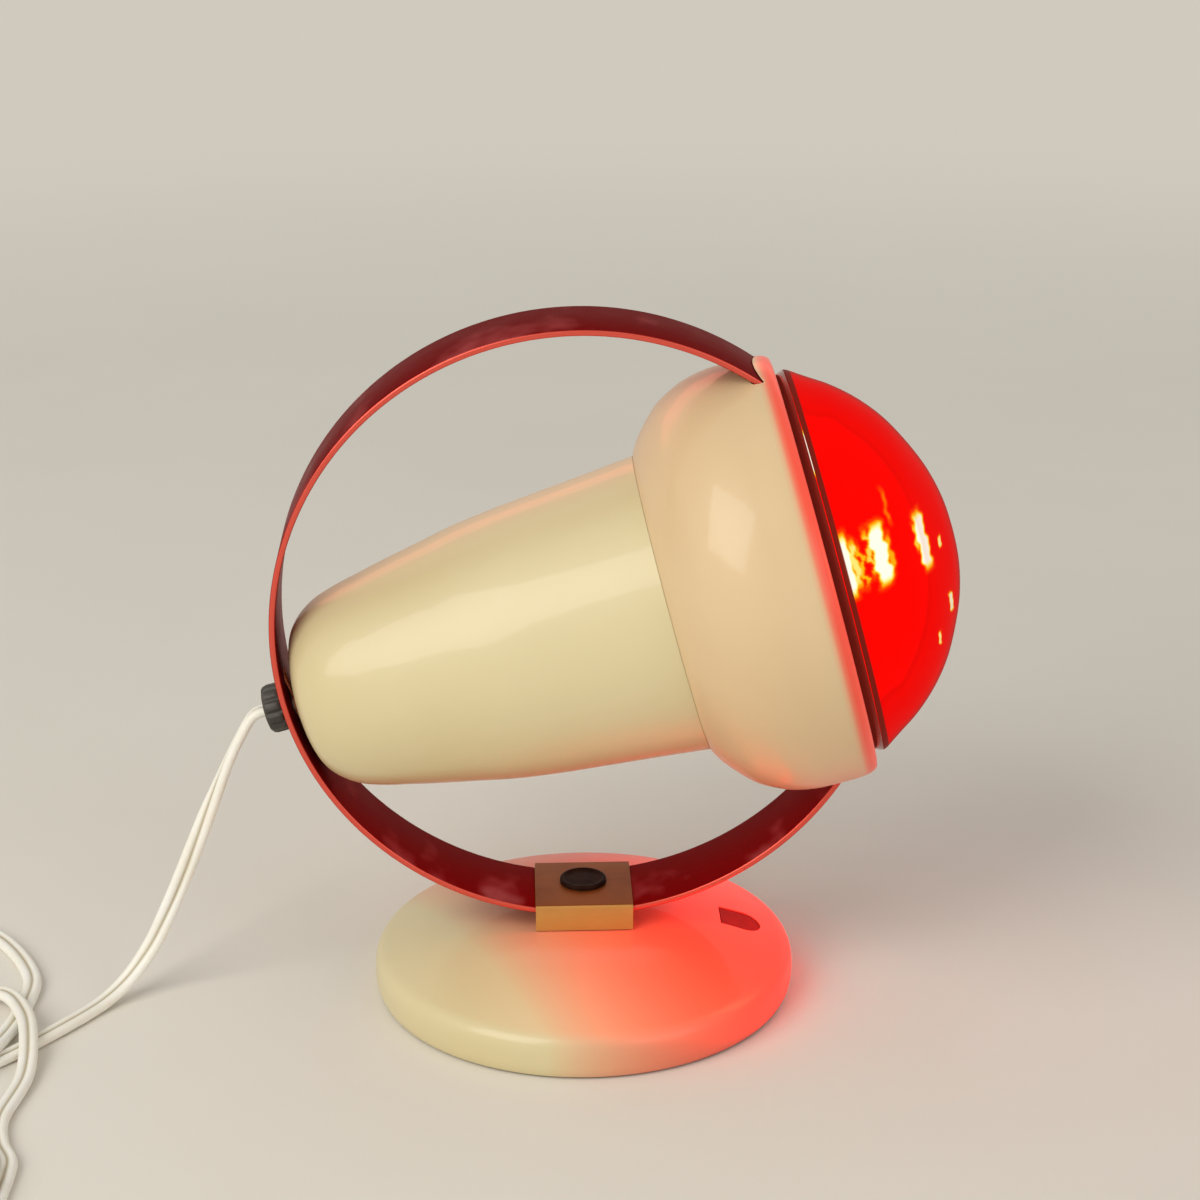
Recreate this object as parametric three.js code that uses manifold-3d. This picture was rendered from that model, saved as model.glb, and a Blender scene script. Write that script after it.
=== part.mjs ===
// Infrared heat therapy lamp, in millimetres, +Z up.
// The origin is the middle of the base's underside, on the table. The lamp shines toward +X, and the
// round steel strap that carries the lamp head lies in the XZ plane.
import * as THREE from 'three';
import { mergeVertices } from 'three/addons/utils/BufferGeometryUtils.js';
import Module from 'manifold-3d';

const wasm = await Module();
wasm.setup();

// Clearances and counts that serve all pieces
const seatGap = 0.3;
const overrun = 2;
const weldDistance = 0.0005;
const roundSides = 32;
const smallSides = 12;
const threadSides = 24;

// Base: a domed casting shell, an iron weight, a bottom plate and a felt
const baseRadius = 70.5;
const baseHeight = 26;
const landRadius = 25;
const shoulderHeight = 14.1;
const shoulderInset = 1.7;
const baseLift = 0.9;
const baseWall = 1.6;
const feltThickness = 1.5;
const feltInset = 4.5;
const coverThickness = 1;
const ballastInset = 5;
const ballastThickness = 12;
const ballastEdge = 5.5;
const baseScrewInset = 13.8;
const baseScrewRadius = 1.5;
const baseScrewHead = 3.2;
const baseScrewReach = 5;
const baseScrewCount = 3;

// Bare plate let into the front of the base
const inlayInset = 9.1;
const inlayReach = 13.2;
const inlayWidth = 12.4;
const inlayDepth = 0.8;
const inlayThickness = 0.5;

// Clamp block on the base, which grips the strap
const clampLength = 32.3;
const clampWidth = 34;
const clampRoof = 0.8;
const clampCheek = 0.9;
const clampFloor = 3.1;
const clampBossRadius = 6;
const clampBossLength = 4.2;
const clampBoltRadius = 3;
const clampBoltHead = 5.5;
const clampBoltHeadHeight = 4;
const clampBoltBite = 1.8;
const clampWasherRadius = 7.5;
const clampWasherThickness = 1;
const keyRadius = 1.5;
const keyOffset = 11.5;
const keyDepth = 3.4;
const keyBite = 1.5;
const padLength = 22;
const padWidth = 26;
const padThickness = 1;
const leafThickness = 0.5;
const leafBow = 0.5;
const leafLength = 27;
const leafWidth = 22;
const badgeRadius = 7.8;
const badgeHeight = 1.1;
const badgeRim = 1.3;
const badgeDish = 0.45;
const badgeStem = 5;
const badgeOffset = 1.5;

// Strap: one flat steel band bent to a circle, with its ends hooked into the lamp head
const strapOuterRadius = 100;
const strapThickness = 2;
const strapWidth = 31;
const strapSteps = 72;
const hookLength = 8;
const hookThickness = 1;
const hookInset = 1.1;

// Lamp head: its axis is tipped up from +X and passes a little below the middle of the strap's circle
const headTilt = THREE.MathUtils.degToRad(14.9);
const headDrop = 3;
const housingWall = 1.5;
const bellLength = 50.4;
const creaseRadius = 49.2;
const tailRadius = 33.7;
const tailCornerLength = 20.3;
const bossRadius = 7;
const bossHeight = 0.56;
const bellClearance = 5.3;
const bellLip = 3.6;
const neckLength = 9;

// Cord entry at the tail: hollow threaded nipple, nuts, washers and earth tag
const nippleRadius = 5;
const nippleBore = 3.7;
const nippleReach = 12.3;
const tagThickness = 0.5;
const tagRadius = 6.6;
const tagReach = 15;
const tagTurn = THREE.MathUtils.degToRad(28);
const tagProngWidth = 1.6;
const tagProngGap = 1.4;
const glandWasherRadius = 7;
const glandWasherThickness = 0.8;
const glandNutRadius = 8.1;
const glandNutLength = 5.9;
const glandFlutes = 12;
const fluteRadius = 1.15;
const glandEndWall = 1.6;
const lockNutRadius = 8.5;
const lockNutHeight = 4.6;
const bracketNutHeight = 3;

// Lampholder and its bracket
const bracketThickness = 1.2;
const bracketWidth = 12;
const bracketEyeRadius = 9;
const holderRadius = 20.5;
const holderStandoff = 20.8;
const holderLength = 41.5;
const holderFloorThickness = 15;
const sleeveRadius = 14.7;
const sleeveThickness = 0.8;
const holderContactRadius = 4;
const holderContactStem = 1.6;
const holderContactHeight = 1.4;
const holderScrewRadius = 1.4;
const holderScrewHead = 2.8;
const holderScrewHeadHeight = 2;
const holderScrewRise = 6;
const holderScrewReach = 5;
const leadRadius = 1.2;
const leadSpacing = 1.6;
const leadSpread = 9;
const leadTerminal = 2;
const leadSteps = 16;
const leadSides = 6;

// Reflector bulb
const bulbRadius = 63.5;
const bulbProud = 3;
const domeHeight = 39.8;
const glassWall = 1.2;
const domeSteps = 6;
const capRadius = 13.2;
const capLength = 24.5;
const capWall = 0.8;
const capInsulatorHeight = 1.9;
const capContactRadius = 4.6;
const capContactHeight = 0.9;
const neckRadius = 23;
const stemRadius = 5;
const stemLength = 46;
const filamentWireRadius = 0.9;
const filamentReach = 15;
const filamentRise = 11;
const filamentZigs = 4;
const supportRadius = 0.7;
const supportSteps = 6;
const filamentSteps = 32;
const wireSides = 6;

// Mains cord: flat twin lead, with what the floor carries wound up beside the lamp
const cordWidth = 6.2;
const cordThickness = 3.2;
const cordSides = 8;
const cordSteps = 80;
const coilMiddleX = -217.6;
const coilMiddleY = -130;
const coilOuterTurn = 41.6;
const coilTurns = 4.5;
const coilPitch = 6.8;
const coilLayerRise = 3.75;
const coilStepsPerTurn = 24;
const coilSides = 6;
const coilTail = 36;
const plugLength = 34;
const plugWidth = 26;
const plugThickness = 13;
const plugCorner = 4;
const plugNose = 16;
const pinRadius = 2;
const pinLength = 19;
const pinSpacing = 19;

// Where the cord lies, from the nut down to the table, through two loose loops and on to the coil
const cordRoute = [
  [-107, 0, 99.2], [-113.6, 0, 88.6], [-123, 0, 67.4], [-127.9, -0.4, 55.6], [-132.8, -1, 43.8],
  [-138.9, -2.2, 30], [-145.4, -4, 17.2], [-153.2, -8.4, 7.2], [-160.2, -15, 2.7],
  [-173.2, -32.6, 1.9], [-189.4, -51.8, 1.8], [-201.5, -62, 1.8], [-216, -63.5, 1.8],
  [-229, -56, 1.8], [-236.2, -40, 1.8], [-247.6, 8, 1.8], [-245.5, 28, 1.8], [-233.5, 41, 1.8],
  [-217, 43, 1.8], [-203.4, 33.3, 1.8], [-187.8, 4, 1.8], [-186.9, -14, 1.8], [-189.6, -34, 2.1],
  [-193.4, -56, 5.7], [-203, -73, 2.1], [-218, -78.5, 1.8], [-233.6, -72.6, 1.8],
  [-241.4, -57, 2.1], [-236.8, -38, 6], [-223.5, -18, 2.1], [-209, -9.4, 2],
  [-194.5, -12.6, 4.9], [-185.3, -27.5, 5.8], [-181, -44, 5.6], [-179.4, -64, 2.4],
  [-183, -90, 1.8], [-180.6, -104, 1.8], [-176.4, -114, 1.7],
];

// Outlines, as shares of the sizes that they follow: first outward, then along
const domeShares = [
  [0, 0], [0.12, 0.03], [0.26, 0.09], [0.42, 0.21], [0.58, 0.38], [0.74, 0.58], [0.88, 0.79], [1, 1],
];
const baseSideShares = [[0.55, 0.8], [0.9, 0.6], [1, 0.4], [0.85, 0.18], [0.4, 0]];
const tailCornerShares = [
  [0, 0], [0.206, 0], [0.438, 0.074], [0.633, 0.187], [0.79, 0.384], [0.906, 0.63], [1, 1],
];
const tailSideShares = [[0.225, 0.147], [0.56, 0.394], [0.77, 0.66], [1, 1]];
const bellShares = [
  [0, 0], [0.27, 0.06], [0.5, 0.146], [0.66, 0.226], [0.806, 0.317], [0.915, 0.42], [0.967, 0.5],
  [1, 0.653], [1, 0.842], [0.976, 0.932], [0.92, 0.98], [0.82, 1],
];
const reflectorFootShares = [[0, 0], [0.3, 0.06], [0.75, 0.13], [1, 0.2]];
const reflectorSideShares = [[0.06, 0.35], [0.26, 0.51], [0.49, 0.66], [0.73, 0.81], [0.93, 0.94], [1, 1]];
const badgeDishShare = 0.78;
const stemFlareShare = 0.3;

// Base and clamp places that follow from the sizes above
const shoulderRadius = baseRadius - shoulderInset;
const ballastRadius = shoulderRadius - ballastInset;
const ballastBottom = feltThickness + seatGap + coverThickness + seatGap;
const inlayNear = shoulderRadius - inlayInset - inlayReach;
const clampBottom = baseHeight + seatGap;
const leafBottom = clampBottom + clampFloor + seatGap;
const strapBottom = leafBottom + leafThickness + leafBow + seatGap;
const padTop = strapBottom + strapThickness + seatGap + padThickness;
const clampTop = padTop + seatGap + clampRoof;

// Strap places: its circle stands on the clamp's spring, and its ends hook in behind the bell's wall
const strapInnerRadius = strapOuterRadius - strapThickness;
const strapMiddleRadius = strapOuterRadius - strapThickness / 2;
const ringCentreHeight = strapBottom + strapOuterRadius;
const bellRadius = bulbRadius + bellClearance + housingWall;
const hookOutside = Math.sqrt((bellRadius - housingWall) ** 2 - (strapWidth / 2) ** 2) - hookInset;
const hookMiddle = hookOutside - hookThickness / 2;
const upperEnd = Math.asin((hookMiddle - headDrop) / strapMiddleRadius);
const lowerEnd = -Math.asin((hookMiddle + headDrop) / strapMiddleRadius);

// Places along the head's axis, from the strap's rear inward and outward
const tagAt = seatGap - Math.sqrt(strapInnerRadius ** 2 - (tagReach * Math.cos(tagTurn) - headDrop) ** 2);
const bossAt = tagAt + tagThickness + seatGap;
const tailAt = bossAt + bossHeight;
const tailCornerAt = tailAt + tailCornerLength;
const rimAt = Math.cos(upperEnd) * strapMiddleRadius + bellLip;
const creaseAt = rimAt - bellLength;
const nippleInner = tailAt + nippleReach;
const strapOutsideAt = -Math.sqrt(strapOuterRadius ** 2 - headDrop ** 2);
const glandWasherAt = strapOutsideAt - seatGap;
const glandNutAt = glandWasherAt - glandWasherThickness - seatGap;
const glandEndAt = glandNutAt - glandNutLength;
const bracketPlateAt = tailAt + housingWall + seatGap + lockNutHeight + seatGap;
const bracketReach = holderRadius + seatGap + bracketThickness;
const holderBack = tailAt + holderStandoff;
const holderFront = holderBack + holderLength;
const holderFloor = holderBack + holderFloorThickness;
const holderScrewAt = holderBack + holderScrewRise;
const bulbTipAt = holderFloor + seatGap + holderContactHeight + seatGap;
const bulbFrontAt = rimAt + bulbProud;
const bulbApexAt = bulbFrontAt + domeHeight;
const capEndAt = bulbTipAt + capContactHeight + capInsulatorHeight;
const capTopAt = capEndAt + capLength;

// Weld a geometry's corners, drop its empty triangles and turn its faces outward
function welded(geometry) {
  geometry.deleteAttribute('normal');
  geometry.deleteAttribute('uv');
  geometry.clearGroups();
  const merged = mergeVertices(geometry, weldDistance);
  const corners = merged.index.array;
  const place = merged.attributes.position;
  const kept = [];
  let volume = 0;
  const a = new THREE.Vector3();
  const b = new THREE.Vector3();
  const c = new THREE.Vector3();
  for (let i = 0; i < corners.length; i += 3) {
    const [p, q, r] = [corners[i], corners[i + 1], corners[i + 2]];
    if (p === q || q === r || r === p) continue;
    kept.push([p, q, r]);
    a.fromBufferAttribute(place, p);
    b.fromBufferAttribute(place, q);
    c.fromBufferAttribute(place, r);
    volume += a.dot(b.cross(c));
  }
  merged.setIndex(kept.flatMap(([p, q, r]) => (volume < 0 ? [p, r, q] : [p, q, r])));
  return merged;
}

function solid(geometry) {
  const closed = welded(geometry);
  return new wasm.Manifold(new wasm.Mesh({
    numProp: 3,
    vertProperties: new Float32Array(closed.attributes.position.array),
    triVerts: new Uint32Array(closed.index.array),
  }));
}

function geometryOf(body) {
  const mesh = body.getMesh();
  const geometry = new THREE.BufferGeometry();
  geometry.setAttribute('position', new THREE.BufferAttribute(new Float32Array(mesh.vertProperties), 3));
  geometry.setIndex(new THREE.BufferAttribute(new Uint32Array(mesh.triVerts), 1));
  return geometry;
}

function cut(geometry, tools) {
  const body = tools.reduce((left, tool) => left.subtract(solid(tool)), solid(geometry));
  return geometryOf(body);
}

function join(geometries) {
  const body = geometries.slice(1).reduce((sum, more) => sum.add(solid(more)), solid(geometries[0]));
  return geometryOf(body);
}

// A body of revolution about Z, from [radius, height] points
function turned(profile, sides = roundSides) {
  const points = profile.map(([radius, height]) => new THREE.Vector2(radius, height));
  return new THREE.LatheGeometry(points, sides).rotateX(Math.PI / 2);
}

// A ring or tube about Z: outer and inner radius, from one height to another
function sleeve(outer, inner, low, high, sides = roundSides) {
  return turned([[inner, low], [outer, low], [outer, high], [inner, high], [inner, low]], sides);
}

function rod(radius, low, high, sides = smallSides) {
  return turned([[0, low], [radius, low], [radius, high], [0, high]], sides);
}

// A box given by its middle in X and Y, its lowest Z and its size
function block(length, width, height, x = 0, y = 0, low = 0) {
  return new THREE.BoxGeometry(length, width, height).translate(x, y, low + height / 2);
}

// A plate whose outline lies in the XZ plane and whose width lies along Y
function sidePlate(shape, width, curveSegments = smallSides) {
  const plate = new THREE.ExtrudeGeometry(shape, { depth: width, bevelEnabled: false, curveSegments });
  return plate.rotateX(Math.PI / 2).translate(0, width / 2, 0);
}

// The inside of a wall of even thickness, from the points of its outside
function insideOf(outside, wall) {
  return outside.map(([radius, along], i) => {
    const before = outside[Math.max(i - 1, 0)];
    const after = outside[Math.min(i + 1, outside.length - 1)];
    const run = new THREE.Vector2(after[0] - before[0], after[1] - before[1]).normalize();
    return [radius - run.y * wall, along + run.x * wall];
  });
}

// A shell of even wall, open at both ends, which end square to the axis
function shell(outside, wall, sides = roundSides) {
  const inside = insideOf(outside, wall);
  inside[0][1] = outside[0][1];
  inside.at(-1)[1] = outside.at(-1)[1];
  return turned([...outside, ...inside.reverse(), outside[0]], sides);
}

// Radius of a profile at a place along it
function radiusAt(profile, along) {
  const next = profile.findIndex((point, i) => i > 0 && point[1] >= along);
  const [low, high] = [profile[next - 1], profile[next]];
  return low[0] + ((high[0] - low[0]) * (along - low[1])) / (high[1] - low[1]);
}

// A path whose sections stay level, so that a flat cord lies flat on the table
class LevelPath extends THREE.CatmullRomCurve3 {
  computeFrenetFrames(steps) {
    const tangents = Array.from({ length: steps + 1 }, (_, i) => this.getTangentAt(i / steps));
    const normals = tangents.map((run) => new THREE.Vector3(run.y, -run.x, 0).normalize());
    const binormals = tangents.map((run, i) => run.clone().cross(normals[i]));
    return { tangents, normals, binormals };
  }
}

// A tube of oval section along a path
function tube(path, width, thickness, steps, sides) {
  const section = new THREE.Shape();
  for (let i = 0; i < sides; i += 1) {
    const turn = (i / sides) * 2 * Math.PI;
    const across = (Math.cos(turn) * width) / 2;
    const high = (Math.sin(turn) * thickness) / 2;
    if (i === 0) section.moveTo(across, high);
    else section.lineTo(across, high);
  }
  section.closePath();
  return new THREE.ExtrudeGeometry(section, { steps, extrudePath: path, bevelEnabled: false });
}

const lamp = new THREE.Group();
const ring = new THREE.Group();
const head = new THREE.Group();
ring.position.set(0, 0, ringCentreHeight);
head.position.set(Math.sin(headTilt) * headDrop, 0, -Math.cos(headTilt) * headDrop);
head.rotation.y = Math.PI / 2 - headTilt;
head.updateMatrix();
ring.add(head);
lamp.add(ring);

const finishes = {
  cream: { color: 0xd9cfa4, roughness: 0.25, metalness: 0 },
  maroon: { color: 0x6a0f10, roughness: 0.3, metalness: 0 },
  brass: { color: 0xb9803c, roughness: 0.35, metalness: 0.9 },
  steel: { color: 0xb8b8b4, roughness: 0.4, metalness: 0.9 },
  iron: { color: 0x3b3a38, roughness: 0.7, metalness: 0.6 },
  felt: { color: 0x2f3a30, roughness: 1, metalness: 0 },
  black: { color: 0x211b17, roughness: 0.3, metalness: 0 },
  copper: { color: 0xc8784a, roughness: 0.35, metalness: 0.9 },
  porcelain: { color: 0xeeeae0, roughness: 0.25, metalness: 0 },
  redGlass: { color: 0xd01008, roughness: 0.05, metalness: 0 },
  mirror: { color: 0x8a2a20, roughness: 0.1, metalness: 1 },
  clearGlass: { color: 0xdfe6e6, roughness: 0.05, metalness: 0 },
  glow: { color: 0xffc060, roughness: 0.5, metalness: 0 },
  cord: { color: 0xefead8, roughness: 0.5, metalness: 0 },
};

function add(name, finish, geometry, group = lamp) {
  const mesh = new THREE.Mesh(welded(geometry), new THREE.MeshStandardMaterial(finishes[finish]));
  mesh.name = name;
  group.add(mesh);
}

// Base shell: flat land in the middle, dome, shoulder and rounded side
function baseShell() {
  const fall = baseHeight - shoulderHeight;
  const dome = domeShares.map(([out, down]) => [
    landRadius + (shoulderRadius - landRadius) * out,
    baseHeight - fall * down,
  ]);
  const side = baseSideShares.map(([out, up]) => [
    shoulderRadius + shoulderInset * out,
    baseLift + (shoulderHeight - baseLift) * up,
  ]);
  const outside = [[0, baseHeight], ...dome, ...side];
  const body = turned([...outside, ...insideOf(outside, -baseWall).reverse()]);
  const boss = rod(clampBossRadius + seatGap, baseHeight - baseWall - overrun, baseHeight + overrun);
  const keys = [-keyOffset, keyOffset].map((x) => (
    rod(keyRadius + seatGap, baseHeight - baseWall - overrun, baseHeight + overrun).translate(x, 0, 0)
  ));
  return cut(body, [boss, ...keys, inlayPrism(seatGap, -inlayDepth, overrun)]);
}

// Height of the base's dome above a point at this distance from its middle
function domeHeightAt(radius) {
  const out = (radius - landRadius) / (shoulderRadius - landRadius);
  const next = domeShares.findIndex(([share]) => share >= out);
  const [low, high] = [domeShares[next - 1], domeShares[next]];
  const down = low[1] + ((high[1] - low[1]) * (out - low[0])) / (high[0] - low[0]);
  return baseHeight - (baseHeight - shoulderHeight) * down;
}

// The inlay's D outline, straight toward the clamp and round toward the rim, on the slope of the dome
function inlayPrism(margin, low, high) {
  const near = domeHeightAt(inlayNear);
  const slope = Math.atan2(near - domeHeightAt(inlayNear + inlayReach), inlayReach);
  const half = inlayWidth / 2 + margin;
  const centre = inlayReach / Math.cos(slope) - inlayWidth / 2;
  const shape = new THREE.Shape();
  shape.moveTo(-margin, half);
  shape.lineTo(-margin, -half);
  shape.lineTo(centre, -half);
  shape.absarc(centre, 0, half, -Math.PI / 2, Math.PI / 2, false);
  shape.closePath();
  const depth = high - low;
  return new THREE.ExtrudeGeometry(shape, { depth, bevelEnabled: false, curveSegments: smallSides / 2 })
    .translate(0, 0, low)
    .rotateY(slope)
    .translate(inlayNear, 0, near);
}

// Iron weight: flat below, with a pocket for the bolt's head and a boss under the clamp
function baseBallast() {
  const bossTop = clampBottom - clampBossLength - seatGap;
  const bossWidth = keyOffset + keyRadius + clampCheek + seatGap;
  const pocket = clampWasherRadius + seatGap;
  const pocketTop = ballastBottom + clampBoltHeadHeight + clampWasherThickness + seatGap;
  const hole = clampBoltRadius + seatGap;
  const body = turned([
    [pocket, ballastBottom],
    [ballastRadius, ballastBottom],
    [ballastRadius, ballastBottom + ballastEdge],
    [ballastRadius - ballastThickness, ballastBottom + ballastThickness],
    [bossWidth, ballastBottom + ballastThickness],
    [bossWidth, bossTop],
    [hole, bossTop],
    [hole, pocketTop],
    [pocket, pocketTop],
    [pocket, ballastBottom],
  ]);
  const keyHoles = [-keyOffset, keyOffset].map((x) => (
    rod(keyRadius + seatGap, bossTop - keyDepth - seatGap, bossTop + overrun).translate(x, 0, 0)
  ));
  const screwHoles = baseScrewPlaces().map(([x, y]) => (
    rod(baseScrewRadius + seatGap, ballastBottom - overrun, ballastBottom + baseScrewReach).translate(x, y, 0)
  ));
  return cut(body, [...keyHoles, ...screwHoles]);
}

function baseScrewPlaces() {
  return Array.from({ length: baseScrewCount }, (_, i) => {
    const turn = Math.PI / 2 + (i / baseScrewCount) * 2 * Math.PI;
    const circle = ballastRadius - baseScrewInset;
    return [Math.cos(turn) * circle, Math.sin(turn) * circle];
  });
}

function buildBase() {
  const coverLow = feltThickness + seatGap;
  const coverHigh = coverLow + coverThickness;
  const coverRadius = shoulderRadius - baseWall - seatGap;
  add('base_shell', 'cream', baseShell());
  add('base_ballast', 'iron', baseBallast());
  add('base_felt', 'felt', rod(baseRadius - feltInset, 0, feltThickness, roundSides));
  const screwHoles = baseScrewPlaces().map(([x, y]) => (
    rod(baseScrewHead + seatGap, coverLow - overrun, coverHigh + overrun).translate(x, y, 0)
  ));
  add('base_cover', 'steel', cut(rod(coverRadius, coverLow, coverHigh, roundSides), screwHoles));
  baseScrewPlaces().forEach(([x, y], i) => {
    const screw = turned([
      [0, coverLow],
      [baseScrewHead, coverLow],
      [baseScrewHead, coverHigh],
      [baseScrewRadius, coverHigh],
      [baseScrewRadius, ballastBottom + baseScrewReach - seatGap],
      [0, ballastBottom + baseScrewReach - seatGap],
    ], smallSides);
    add(`base_screw_${i + 1}`, 'steel', screw.translate(x, y, 0));
  });
  const plateLow = seatGap - inlayDepth;
  add('base_inlay', 'maroon', inlayPrism(0, plateLow, plateLow + inlayThickness));
}

// Clamp: a folded brass cover over a steel floor block, bolted down through the base
function clampCover() {
  const clampHeight = clampTop - clampBottom;
  const outer = block(clampLength, clampWidth, clampHeight, 0, 0, clampBottom);
  const hollow = block(
    clampLength + overrun,
    clampWidth - 2 * clampCheek,
    clampHeight - clampRoof + overrun,
    0,
    0,
    clampBottom - overrun,
  );
  const hole = rod(badgeStem + seatGap, clampBottom, clampTop + overrun).translate(0, badgeOffset, 0);
  return cut(outer, [hollow, hole]);
}

function clampFloorBlock() {
  const width = clampWidth - 2 * clampCheek - 2 * seatGap;
  const slab = block(clampLength - 2 * seatGap, width, clampFloor, 0, 0, clampBottom);
  const boss = rod(clampBossRadius, clampBottom - clampBossLength, clampBottom + clampFloor / 2);
  const thread = rod(
    clampBoltRadius + seatGap,
    clampBottom - clampBossLength - overrun,
    clampBottom + clampBoltBite + seatGap,
  );
  const keys = [-keyOffset, keyOffset].map((x) => (
    rod(keyRadius + seatGap, clampBottom - overrun, clampBottom + keyBite + seatGap).translate(x, 0, 0)
  ));
  return cut(join([slab, boss]), [thread, ...keys]);
}

// A flat spring bowed up against the strap's outside
function clampLeaf() {
  const half = leafLength / 2;
  const leafTop = leafBottom + leafThickness;
  const shape = new THREE.Shape();
  shape.moveTo(-half, leafBottom);
  shape.quadraticCurveTo(0, leafBottom + 2 * leafBow, half, leafBottom);
  shape.lineTo(half, leafTop);
  shape.quadraticCurveTo(0, leafTop + 2 * leafBow, -half, leafTop);
  shape.closePath();
  return sidePlate(shape, leafWidth, smallSides / 2);
}

// The friction pad between the strap's inside and the clamp's roof
function brakePad() {
  const radius = strapInnerRadius - seatGap;
  const half = padLength / 2;
  const reach = Math.asin(half / radius);
  const shape = new THREE.Shape();
  shape.moveTo(half, padTop);
  shape.lineTo(-half, padTop);
  shape.absarc(0, ringCentreHeight, radius, -Math.PI / 2 - reach, -Math.PI / 2 + reach, false);
  shape.closePath();
  return sidePlate(shape, padWidth, smallSides / 2);
}

function clampBadge() {
  const low = clampTop + seatGap;
  return turned([
    [0, clampTop - clampRoof],
    [badgeStem, clampTop - clampRoof],
    [badgeStem, low],
    [badgeRadius, low],
    [badgeRadius, low + badgeHeight],
    [badgeRadius - badgeRim / 2, low + badgeHeight + seatGap],
    [badgeRadius - badgeRim, low + badgeHeight],
    [(badgeRadius - badgeRim) * badgeDishShare, low + badgeHeight - badgeDish],
    [0, low + badgeHeight - badgeDish],
  ], smallSides).translate(0, badgeOffset, 0);
}

function buildClamp() {
  add('clamp_cover', 'brass', clampCover());
  add('clamp_floor', 'steel', clampFloorBlock());
  add('clamp_leaf_spring', 'steel', clampLeaf());
  add('clamp_friction_pad', 'felt', brakePad());
  add('clamp_badge', 'black', clampBadge());
  const headTop = ballastBottom + clampBoltHeadHeight - seatGap;
  const bolt = join([
    rod(clampBoltHead, ballastBottom, headTop, 6),
    rod(clampBoltRadius, headTop - overrun, clampBottom + clampBoltBite),
  ]);
  add('clamp_bolt', 'steel', bolt);
  const washer = sleeve(
    clampWasherRadius,
    clampBoltRadius + seatGap,
    headTop + seatGap,
    headTop + seatGap + clampWasherThickness,
    smallSides,
  );
  add('clamp_washer', 'steel', washer);
  const keyLow = clampBottom - clampBossLength - seatGap - keyDepth;
  [-keyOffset, keyOffset].forEach((x, i) => {
    add(`clamp_key_${i + 1}`, 'steel', rod(keyRadius, keyLow, clampBottom + keyBite).translate(x, 0, 0));
  });
}

// Part of the strap's circle, between two angles counted from the head's axis
function strapArc(from, to, margin, steps) {
  const shape = new THREE.Shape();
  shape.absarc(0, 0, strapOuterRadius + margin, headTilt + from, headTilt + to, false);
  shape.absarc(0, 0, strapInnerRadius - margin, headTilt + to, headTilt + from, true);
  shape.closePath();
  return sidePlate(shape, strapWidth + 2 * margin, steps);
}

// The strap's ends pass through slots in the bell and turn back along its inside
function strapHook(end, side) {
  const along = Math.cos(end) * strapMiddleRadius;
  const away = side * hookMiddle - headDrop;
  return new THREE.BoxGeometry(hookLength, strapWidth, hookThickness)
    .translate(along - hookLength / 2, 0, away)
    .rotateY(-headTilt);
}

function buildStrap() {
  const band = strapArc(upperEnd, 2 * Math.PI + lowerEnd, 0, strapSteps);
  const bore = rod(nippleRadius + seatGap, strapOutsideAt - overrun, tagAt + overrun);
  const whole = join([band, strapHook(upperEnd, 1), strapHook(lowerEnd, -1)]);
  add('strap', 'maroon', cut(whole, [bore.applyMatrix4(head.matrix)]), ring);
}

// Outside of the rear housing: rounded tail and slightly bulging cone
function housingSkin() {
  const corner = tailCornerShares.map(([out, along]) => [
    bossRadius + (tailRadius - bossRadius) * out,
    tailAt + (tailCornerAt - tailAt) * along,
  ]);
  const side = tailSideShares.map(([out, along]) => [
    tailRadius + (creaseRadius - tailRadius) * out,
    tailCornerAt + (creaseAt - seatGap - tailCornerAt) * along,
  ]);
  return [...corner, ...side];
}

// Rear housing: a shell with a raised boss round the cord's entry, open toward the bell
function rearHousing() {
  const skin = housingSkin();
  const inside = insideOf(skin, housingWall);
  const hole = nippleRadius + seatGap;
  const innerFace = inside[0][1];
  return turned([
    [hole, bossAt],
    [bossRadius, bossAt],
    ...skin,
    ...inside.slice(1).reverse(),
    [bossRadius, innerFace],
    [hole, innerFace],
    [hole, bossAt],
  ]);
}

// Front bell: neck that enters the rear housing, flare and rim, with two slots for the strap
function frontBell() {
  const skin = bellShares.map(([out, along]) => [
    creaseRadius + (bellRadius - creaseRadius) * out,
    creaseAt + (rimAt - creaseAt) * along,
  ]);
  const inside = insideOf(skin, housingWall);
  const housingInside = insideOf(housingSkin(), housingWall);
  const neckOuter = radiusAt(housingInside, creaseAt - neckLength) - seatGap;
  const body = turned([
    [neckOuter, creaseAt - neckLength],
    [neckOuter, creaseAt],
    ...skin,
    ...inside.slice(2).reverse(),
    [neckOuter - housingWall, creaseAt + housingWall],
    [neckOuter - housingWall, creaseAt - neckLength],
    [neckOuter, creaseAt - neckLength],
  ]);
  const toHead = head.matrix.clone().invert();
  const reach = overrun / strapMiddleRadius;
  const deep = housingWall * 8;
  const upper = strapArc(upperEnd - reach, upperEnd + deep / strapMiddleRadius, seatGap, smallSides);
  const lower = strapArc(lowerEnd - deep / strapMiddleRadius, lowerEnd + reach, seatGap, smallSides);
  return cut(body, [upper.applyMatrix4(toHead), lower.applyMatrix4(toHead)]);
}

function hexNut(radius, low, height) {
  const bore = rod(nippleRadius + seatGap, low - overrun, low + height + overrun);
  return cut(rod(radius, low, low + height, 6), [bore]);
}

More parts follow.
